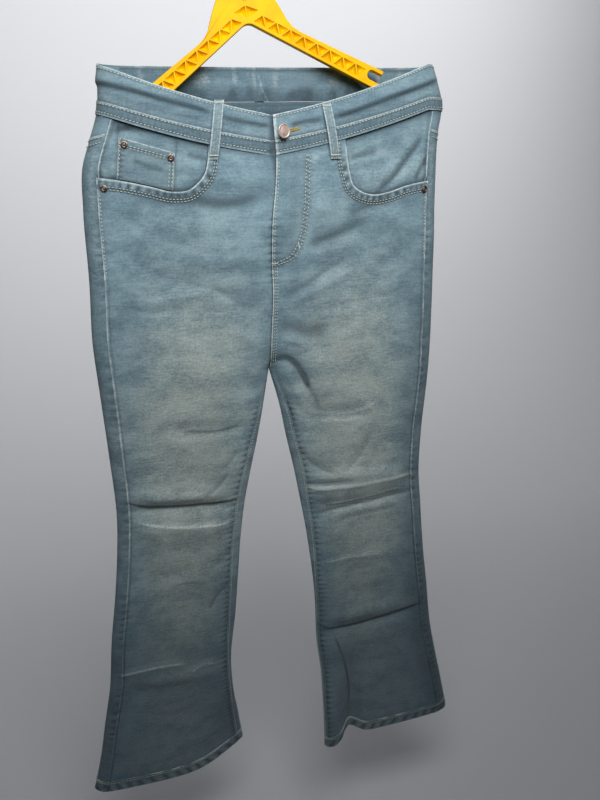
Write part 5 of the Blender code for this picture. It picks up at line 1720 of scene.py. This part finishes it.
def stitches(path, normal, pitch, long, thick):
    """Copies of the grain along a path: points of every copy, in order."""
    run = run_along(path)
    count = max(int(run[-1] / pitch), 1)
    at = (np.arange(count) + 0.5) * run[-1] / count
    along = at_run(run, path, at + pitch / 2) - at_run(run, path, at - pitch / 2)
    across = np.cross(at_run(run, normal, at), along)
    ways = [across, np.cross(along, across), along]
    ways = [way / np.linalg.norm(way, axis=-1, keepdims=True) for way in ways]
    centre = at_run(run, path, at) + ways[1] * thick * STITCH_RAISED
    points = np.repeat(centre[:, None, :], len(GRAIN_POINTS), axis=1)
    for i, size in enumerate((thick, thick * STITCH_FLAT, long)):
        points += GRAIN_POINTS[None, :, i : i + 1] * size * ways[i][:, None, :]
    return points.reshape(-1, 3)


def sew(name, lines, finish, pitch=STITCH_PITCH, long=STITCH_LONG, thick=STITCH_THICK):
    """One joined mesh of all the stitches of some lines, each a path and its normals."""
    points = np.concatenate([stitches(path, normal, pitch, long, thick) for path, normal in lines])
    copies = len(points) // len(GRAIN_POINTS)
    piece = grain()
    piece.name = piece.data.name = name
    row = piece.modifiers.new("row", "ARRAY")
    row.count, row.relative_offset_displace = copies, (0, 0, 1)
    bpy.ops.object.modifier_apply(modifier="row")
    mesh = piece.data
    mesh.vertices.foreach_set("co", as_floats(points))
    mesh.update()
    mesh.shade_smooth()
    mesh.materials.append(finish)
    alone(piece)
    bpy.ops.object.mode_set(mode="EDIT")
    bpy.ops.mesh.select_all(action="SELECT")
    bpy.ops.mesh.normals_make_consistent(inside=False)
    bpy.ops.object.mode_set(mode="OBJECT")
    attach(piece, "root")
    print(name, copies, "stitches")
    return piece


# %% [markdown]
# ## Where the sewing runs
# Waistband: one row under the top edge, one just under the seam with the narrow strip, and one at its
# foot. Pocket mouths, the fly's J, the hems, the yokes and the pockets have one or two rows.

# %% Sewn lines
def on_cloth(side, face, places, lift):
    """A path over the cloth through points (x, drop), and the way the cloth faces there."""
    x, drop = np.asarray(places, float).T
    return surface(side, share_at(side, face, x, drop), drop, lift)


def beside(curve, offset):
    """A curve moved sideways in its own plane."""
    along = np.gradient(curve, axis=0)
    along /= np.linalg.norm(along, axis=1, keepdims=True)
    return curve + offset * np.stack([-along[:, 1], along[:, 0]], axis=-1)


def band_row(part, at_sides, at_front, lift, creased=True):
    """A row of sewing along the band; the right part's dives out of sight with its end."""
    sides, share = band_places(part)
    if part == "right":
        sides, share = sides[HIDDEN_COLUMNS:], share[HIDDEN_COLUMNS:]
    drop = band_line(sides, share, at_sides, at_front)
    if creased:
        lift = lift + band_relief(form(sides, share, drop)[0][:, 0], drop, share, sides)[0]
    return surface(sides, share, drop, lift)


HIDDEN_COLUMNS = UNDER_COLUMNS + 4
band_rows = []
for part in ("right", "left", "back"):
    band_rows.append(band_row(part, 0.0030, DIP + 0.0030, BAND_LIFT))
    band_rows.append(band_row(part, STRIP_SIDE + 0.0026, STRIP_FRONT + 0.0028, STRIP_LIFT, False))
    band_rows.append(band_row(part, BAND_SIDE - 0.0032, BAND_FRONT - 0.0036, STRIP_LIFT, False))
band_stitches = sew("band_stitches", band_rows, thread)

# %% Pocket, fly and seam sewing
EDGE_LIFT = 0.0006
SEAT_ROW_END = CROTCH - 0.012


def mouth_rows(side):
    """The two rows round a pocket's mouth, where they are clear of the waistband and the side seam."""
    rows = []
    for offset in MOUTH_ROWS:
        row = beside(scoop_curves[side], side * offset)
        keep = row[:, 1] > front_line(row[:, 0], BAND_SIDE, BAND_FRONT) + 0.001
        keep &= side * row[:, 0] < side * seam_x(side, row[:, 1]) - 0.003
        rows.append(on_cloth(side, "front", row[keep], EDGE_LIFT))
    return rows


def seam_row(side, x_of, start, end, offset, lift=0.0004):
    """A row down the front at an offset from a seam, whose x at a drop x_of gives."""
    drop = np.linspace(start, end, int((end - start) / 0.003))
    return on_cloth(side, "front", np.stack([x_of(drop) + offset, drop], axis=-1), lift)


pocket_rows = mouth_rows(RIGHT) + mouth_rows(LEFT)
pocket_stitches = sew("pocket_stitches", pocket_rows, thread)
j_rows = (J_LINE, 0.0010), ([(x + 0.0045, drop + 0.002) for x, drop in J_LINE], 0.0008)
fly_rows = [on_cloth(LEFT, "front", curve_through(line, 0.0015), lift) for line, lift in j_rows]
fly_rows.append(seam_row(LEFT, centre_x, 0.106, SEAT_ROW_END, 0.0035, 0.0014))
fly_rows.append(seam_row(LEFT, centre_x, 0.228, SEAT_ROW_END, 0.0065, 0.0006))
fly_stitches = sew("fly_stitches", fly_rows, thread)
leg_rows = []
for side in (RIGHT, LEFT):
    inner, outer = partial(inseam_x, side), partial(seam_x, side)
    leg_rows.append(seam_row(side, inner, CROTCH + 0.050, HEM_TOP - 0.003, -side * 0.0030))
    leg_rows.append(seam_row(side, outer, 0.135, 0.225, -side * 0.0028, 0.0008))
leg_stitches = sew("leg_stitches", leg_rows, thread)
hem_rows = []
for side in (RIGHT, LEFT):
    hem_rows.append(surface(side, np.linspace(0, 1, 400), np.full(400, HEM_TOP + HEM_ROW), 0.0009))
hem_stitches = sew("hem_stitches", hem_rows, thread)

# %% Coin pocket and back sewing
def straight_row(side, face, start, end, lift, offset=0.0):
    return on_cloth(side, face, beside(curve_through([start, end], 0.003), offset), lift)


def pocket_point(side, across, down):
    """A place on a back pocket as a point (x, drop)."""
    return [float(value) for value in pocket_place(side, np.array(across), np.array(down))]


coin_foot = [(x, float(scoop_drop(RIGHT, x)) - 0.004) for x in COIN_FOOT_X]
coin_rows = [
    straight_row(RIGHT, "front", start, end, COIN_LIFT, offset)
    for start, end, offset in (
        (COIN_TOP[0], COIN_TOP[1], 0.0062),
        (COIN_TOP[0], COIN_TOP[1], 0.0086),
        (COIN_TOP[0], coin_foot[0], -0.0020),
        (COIN_TOP[1], coin_foot[1], 0.0015),
        (COIN_TOP[1], coin_foot[1], 0.0050),
    )
]
coin_stitches = sew("coin_pocket_stitches", coin_rows, thread)

FIVE_CORNERS = ((-0.5, 0.0), (-0.5, 1.0), (0.0, 1.0), (0.5, 1.0), (0.5, 0.0))
back_rows = []
for side in (RIGHT, LEFT):
    f = np.linspace(0.01, 0.99, 160)
    for offset in (0.0030, 0.0090):
        drop = yoke_line(f) + offset
        back_rows.append(surface(side, back_row(side, f, drop), drop, EDGE_LIFT))
    for inset in (0.0025, 0.0085):
        narrower, shorter = 1 - 2 * inset / BACK_POCKET_WIDE, 1 - inset / 0.12
        corners = [pocket_point(side, a * narrower, d * shorter) for a, d in FIVE_CORNERS]
        for start, end in zip(corners, corners[1:]):
            back_rows.append(straight_row(side, "back", start, end, PATCH_LIFT))
    start, end = pocket_point(side, -0.49, 0.10), pocket_point(side, 0.49, 0.10)
    for offset in (0.0, 0.005):
        back_rows.append(straight_row(side, "back", start, end, PATCH_LIFT, offset))
drop = np.linspace(0.116, SEAT_ROW_END, 110)
for inward in (0.003, 0.008):
    back_rows.append(surface(LEFT, 1 - inward / loop_length(LEFT, drop), drop, 0.0008))
back_stitches = sew("back_stitches", back_rows, thread)

# %% [markdown]
# ## Bar tacks and the buttonhole
# Where a seam takes a pull, the machine sews a small dense bar across it: at both ends of each belt
# loop, and twice near the foot of the fly's J. The buttonhole is edged the same way, in a golden thread.

# %% Bar tacks and buttonhole
TACK_PITCH, TACK_THICK, TACK_POINTS = 0.0007, 0.0010, 12


def bars(name, rows, finish, long):
    """Stitches set square to each path, close together."""
    turned = []
    for path, normal in rows:
        run = run_along(path)
        up = normal[len(normal) // 2]
        across = np.cross(up, path[-1] - path[0])
        across /= np.linalg.norm(across)
        for centre in at_run(run, path, np.arange(0, run[-1], TACK_PITCH)):
            ends = np.stack([centre - across * long / 2, centre + across * long / 2])
            turned.append((ends, np.stack([up, up])))
    return sew(name, turned, finish, pitch=long, long=long, thick=TACK_THICK)


tack_rows = []
for row in LOOPS:
    for part in (0.045, 0.93):
        t = np.full(TACK_POINTS, part)
        side, share, drop = loop_places(row, np.linspace(-0.45, 0.45, TACK_POINTS), t)
        base, normal = form(side, share, drop)
        tack_rows.append((base + normal * (loop_clear(row, t) + LOOP_CLOTH)[:, None], normal))
for start, end, lift in (
    ((0.0495, 0.199), (0.0510, 0.208), 0.0014),
    ((0.0160, 0.2235), (0.0235, 0.2235), 0.0010),
):
    tack_rows.append(on_cloth(LEFT, "front", np.linspace(start, end, TACK_POINTS), lift))
bar_tacks = bars("bar_tacks", tack_rows, thread, 0.0019)

HOLE_FROM, HOLE_TO, HOLE_HALF = (0.0345, 0.0732), (0.0520, 0.0700), 0.0013
hole_rows = []
for offset in (-HOLE_HALF, HOLE_HALF):
    x, drop = np.linspace(HOLE_FROM, HOLE_TO, TACK_POINTS).T
    drop = drop + offset * np.linspace(1.0, 0.5, TACK_POINTS)
    base, normal = form(LEFT, share_at(LEFT, "front", x, drop), drop)
    lift = band_relief(x, drop, np.zeros(TACK_POINTS), np.full(TACK_POINTS, LEFT))[0]
    hole_rows.append((base + normal * (lift + BAND_LIFT + 0.0002)[:, None], normal))
buttonhole = bars("buttonhole_thread", hole_rows, gold_thread, 0.0020)

# %% [markdown]
# ## Button and rivets
# The shank button is a plain domed cap with a rolled rim on a short stem, tipped a little by the cloth
# that pulls on it. A rivet is a low cap with a raised middle. Both are turned: in edit mode one point is
# extruded step by step into a profile, and the profile is spun about its axis.

# %% Button and rivets
BUTTON_X, BUTTON_DROP, BUTTON_RADIUS = 0.0300, 0.0735, 0.0080
BUTTON_TURN = math.radians(18)
RIVET_RADIUS, RIVET_TALL = 0.0040, 0.0018
METAL_SMOOTH = math.radians(50)
Rivet = namedtuple("Rivet", "name side x drop lift")
RIVETS = [
    Rivet("rivet_pocket_right", RIGHT, -0.1745, 0.1290, 0.0006),
    Rivet("rivet_pocket_left", LEFT, 0.2160, 0.1430, 0.0006),
    Rivet("rivet_coin_outer", RIGHT, -0.1485, 0.0840, COIN_LIFT),
    Rivet("rivet_coin_inner", RIGHT, -0.0985, 0.0985, COIN_LIFT),
]


def spun(name, profile, steps, point, facing, finish):
    """A turned piece from (radius, height) points, the first and last on its axis."""
    bpy.ops.object.select_all(action="DESELECT")
    bpy.ops.mesh.primitive_plane_add(size=0.001, location=(0, 0, 0))
    piece = bpy.context.object
    piece.name = piece.data.name = name
    mesh = piece.data
    bpy.ops.object.mode_set(mode="EDIT")
    bpy.ops.mesh.select_mode(type="VERT")
    bpy.ops.mesh.merge(type="CENTER")
    bpy.ops.transform.translate(value=(profile[0][0], 0, profile[0][1]))
    for (r, h), (next_r, next_h) in zip(profile, profile[1:]):
        bpy.ops.mesh.extrude_region_move(TRANSFORM_OT_translate={"value": (next_r - r, 0, next_h - h)})
    bpy.ops.mesh.select_all(action="SELECT")
    bpy.ops.mesh.spin(steps=steps, angle=2 * math.pi, center=(0, 0, 0), axis=(0, 0, 1))
    bpy.ops.mesh.select_all(action="SELECT")
    bpy.ops.mesh.remove_doubles(threshold=WELD)
    bpy.ops.mesh.normals_make_consistent(inside=False)
    bpy.ops.object.mode_set(mode="OBJECT")
    turn = Vector((0, 0, 1)).rotation_difference(Vector(facing)).to_matrix().to_4x4()
    mesh.transform(Matrix.Translation(Vector(point)) @ turn)
    bpy.ops.object.shade_smooth_by_angle(angle=METAL_SMOOTH)
    mesh.materials.append(finish)
    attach(piece, "root")
    return piece


def place_on(side, x, drop, lift):
    """A point at a lift over the form, and the way it faces."""
    base, normal = form(side, share_at(side, "front", np.array(x), np.array(drop)), np.array(drop))
    return Vector(base + normal * lift), Vector(normal)


def arc(radius, height, r, start, end, count):
    """Points of a round edge, from one angle to another in degrees."""
    angles = np.radians(np.linspace(start, end, count))
    return [(radius + r * math.cos(a), height + r * math.sin(a)) for a in angles]


def button():
    point, normal = place_on(LEFT, BUTTON_X, BUTTON_DROP, BAND_LIFT + LAYER_GAP + 0.0016)
    facing = Matrix.Rotation(BUTTON_TURN, 3, "Z") @ normal
    rim, shank = BUTTON_RADIUS, 0.0030
    profile = [(0, 0), (0.0034, 0), (0.0032, shank), (rim - 0.0022, shank + 0.0001)]
    profile += arc(rim - 0.0010, shank + 0.0011, 0.0010, -80, 100, 9)
    profile += [(rim - 0.0017, shank + 0.0017), (rim - 0.0024, shank + 0.0016)]
    profile += [(r, shank + 0.0016 + 0.0006 * (1 - (r / 0.0056) ** 2)) for r in (0.0050, 0.0036, 0.0018)]
    profile += [(0, shank + 0.0022)]
    made = spun("button_cap", profile, 40, point, facing, copper)
    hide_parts("button")
    return made


def rivet(row):
    point, normal = place_on(row.side, row.x, row.drop, row.lift + LAYER_GAP)
    r, h = RIVET_RADIUS, RIVET_TALL
    profile = [(0, 0), (r, 0)] + arc(r - 0.0005, 0.0006, 0.0005, 0, 100, 5)
    profile += [(0.66 * r, 0.85 * h), (0.42 * r, 0.52 * h), (0.30 * r, 0.60 * h)]
    profile += [(0.22 * r, 0.95 * h), (0, 1.05 * h)]
    made = spun(row.name + "_cap", profile, 24, point, normal, bronze)
    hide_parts(row.name)
    return made


metal = [button()] + [rivet(row) for row in RIVETS]
print("button", round(2 * BUTTON_RADIUS * 1000, 1), "mm and", len(metal) - 1, "rivets")

# %% [markdown]
# ## Hanger
# The hanger's solid already has its truss of three-cornered pits, so a copy of it is welded. Poke gives
# each pit's flat floor a point in its middle, which stays deep while the floor's corners are raised to
# the rim, so the pit's walls slope. The outline gets a small round bevel: moulded plastic has no sharp edge.

# %% Hanger
HANGER_BEVEL, HANGER_SMOOTH = 0.0009, math.radians(32)
THICK_HALF, PIT_RIM, PIT_DEEP = 0.0045, 0.00025, 0.0036
PIT_LEAST, SAME_PLANE = 0.0005, 1e-5

bpy.ops.object.select_all(action="DESELECT")
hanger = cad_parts["hanger"].copy()
hanger.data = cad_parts["hanger"].data.copy()
for key_name in list(hanger.keys()):
    del hanger[key_name]
hanger.name = hanger.data.name = "hanger_moulded"
hanger.parent = None
bpy.context.scene.collection.objects.link(hanger)
alone(hanger)
bpy.ops.object.mode_set(mode="EDIT")
bpy.ops.mesh.select_mode(type="FACE")
bpy.ops.mesh.select_all(action="SELECT")
bpy.ops.mesh.remove_doubles(threshold=WELD)
bpy.ops.mesh.select_all(action="DESELECT")
bpy.ops.object.mode_set(mode="OBJECT")


def picked(mesh, faces=(), edges=()):
    """Selects some faces and some edges, and nothing else."""
    chosen_faces, chosen_edges = set(faces), set(edges)
    for polygon in mesh.polygons:
        polygon.select = polygon.index in chosen_faces
    corners = {corner for index in chosen_faces for corner in mesh.polygons[index].vertices}
    for edge in mesh.edges:
        edge.select = edge.index in chosen_edges
        if edge.select:
            corners.update(edge.vertices)
    for vertex in mesh.vertices:
        vertex.select = vertex.index in corners


def is_sunk(vertex):
    return abs(vertex.co.y) < THICK_HALF - PIT_LEAST


def outline_edges(mesh):
    """The edges between one of the hanger's two flat faces and its rim."""
    beside_edge = {}
    for polygon in mesh.polygons:
        for key in polygon.edge_keys:
            beside_edge.setdefault(key, []).append(polygon)
    outline = []
    for edge in mesh.edges:
        ends = [mesh.vertices[i].co.y for i in edge.vertices]
        if abs(ends[0] - ends[1]) < SAME_PLANE and abs(abs(ends[0]) - THICK_HALF) < SAME_PLANE:
            depths = [mesh.vertices[i].co.y for face in beside_edge[edge.key] for i in face.vertices]
            if max(depths) - min(depths) > 2 * (THICK_HALF - 5 * SAME_PLANE):
                outline.append(edge.index)
    return outline


# %% The pits' walls and the rounded outline
mesh = hanger.data
floors = [
    polygon.index
    for polygon in mesh.polygons
    if abs(polygon.normal.y) > 0.99 and is_sunk(mesh.vertices[polygon.vertices[0]])
]
floor_corners = {vertex for index in floors for vertex in mesh.polygons[index].vertices}
picked(mesh, floors)
bpy.ops.object.mode_set(mode="EDIT")
bpy.ops.mesh.poke()
bpy.ops.object.mode_set(mode="OBJECT")
for vertex in mesh.vertices:
    way = 1 if vertex.co.y > 0 else -1
    if vertex.index in floor_corners:
        vertex.co.y = way * (THICK_HALF - PIT_RIM)
    elif is_sunk(vertex):
        vertex.co.y = way * (THICK_HALF - PIT_DEEP)
mesh.update()
picked(mesh, edges=outline_edges(mesh))
bpy.ops.object.mode_set(mode="EDIT")
bpy.ops.mesh.select_mode(type="EDGE")
bpy.ops.mesh.bevel(offset=HANGER_BEVEL, segments=3, loop_slide=False)
bpy.ops.mesh.select_mode(type="VERT")
bpy.ops.mesh.select_all(action="SELECT")
bpy.ops.mesh.normals_make_consistent(inside=False)
bpy.ops.object.mode_set(mode="OBJECT")
bpy.ops.object.shade_smooth_by_angle(angle=HANGER_SMOOTH)
for polygon in mesh.polygons:
    polygon.use_smooth = polygon.use_smooth and abs(polygon.normal.y) < 0.999
print(len(floors), "pits")
mesh.materials.clear()
mesh.materials.append(plastic)
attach(hanger, "root")
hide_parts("hanger")
print("hanger has", len(mesh.polygons), "faces")

# %% [markdown]
# ## The solids that the cloth stands for
# Each piece of cloth stands for its solid, which is hidden.

# %% Hiding the solids
sheets = {"coin_pocket": coin, **bands, **belt_loops}
for side, word in SIDE_NAMES.items():
    for kind, made in (
        ("front_panel", front_panels), ("back_panel", back_panels), ("yoke", yokes), ("hem", hems),
        ("pocket_facing", facings), ("back_pocket", back_pockets),
    ):
        sheets[kind + "_" + word] = made[side]
for node, piece in sheets.items():
    declare(node)
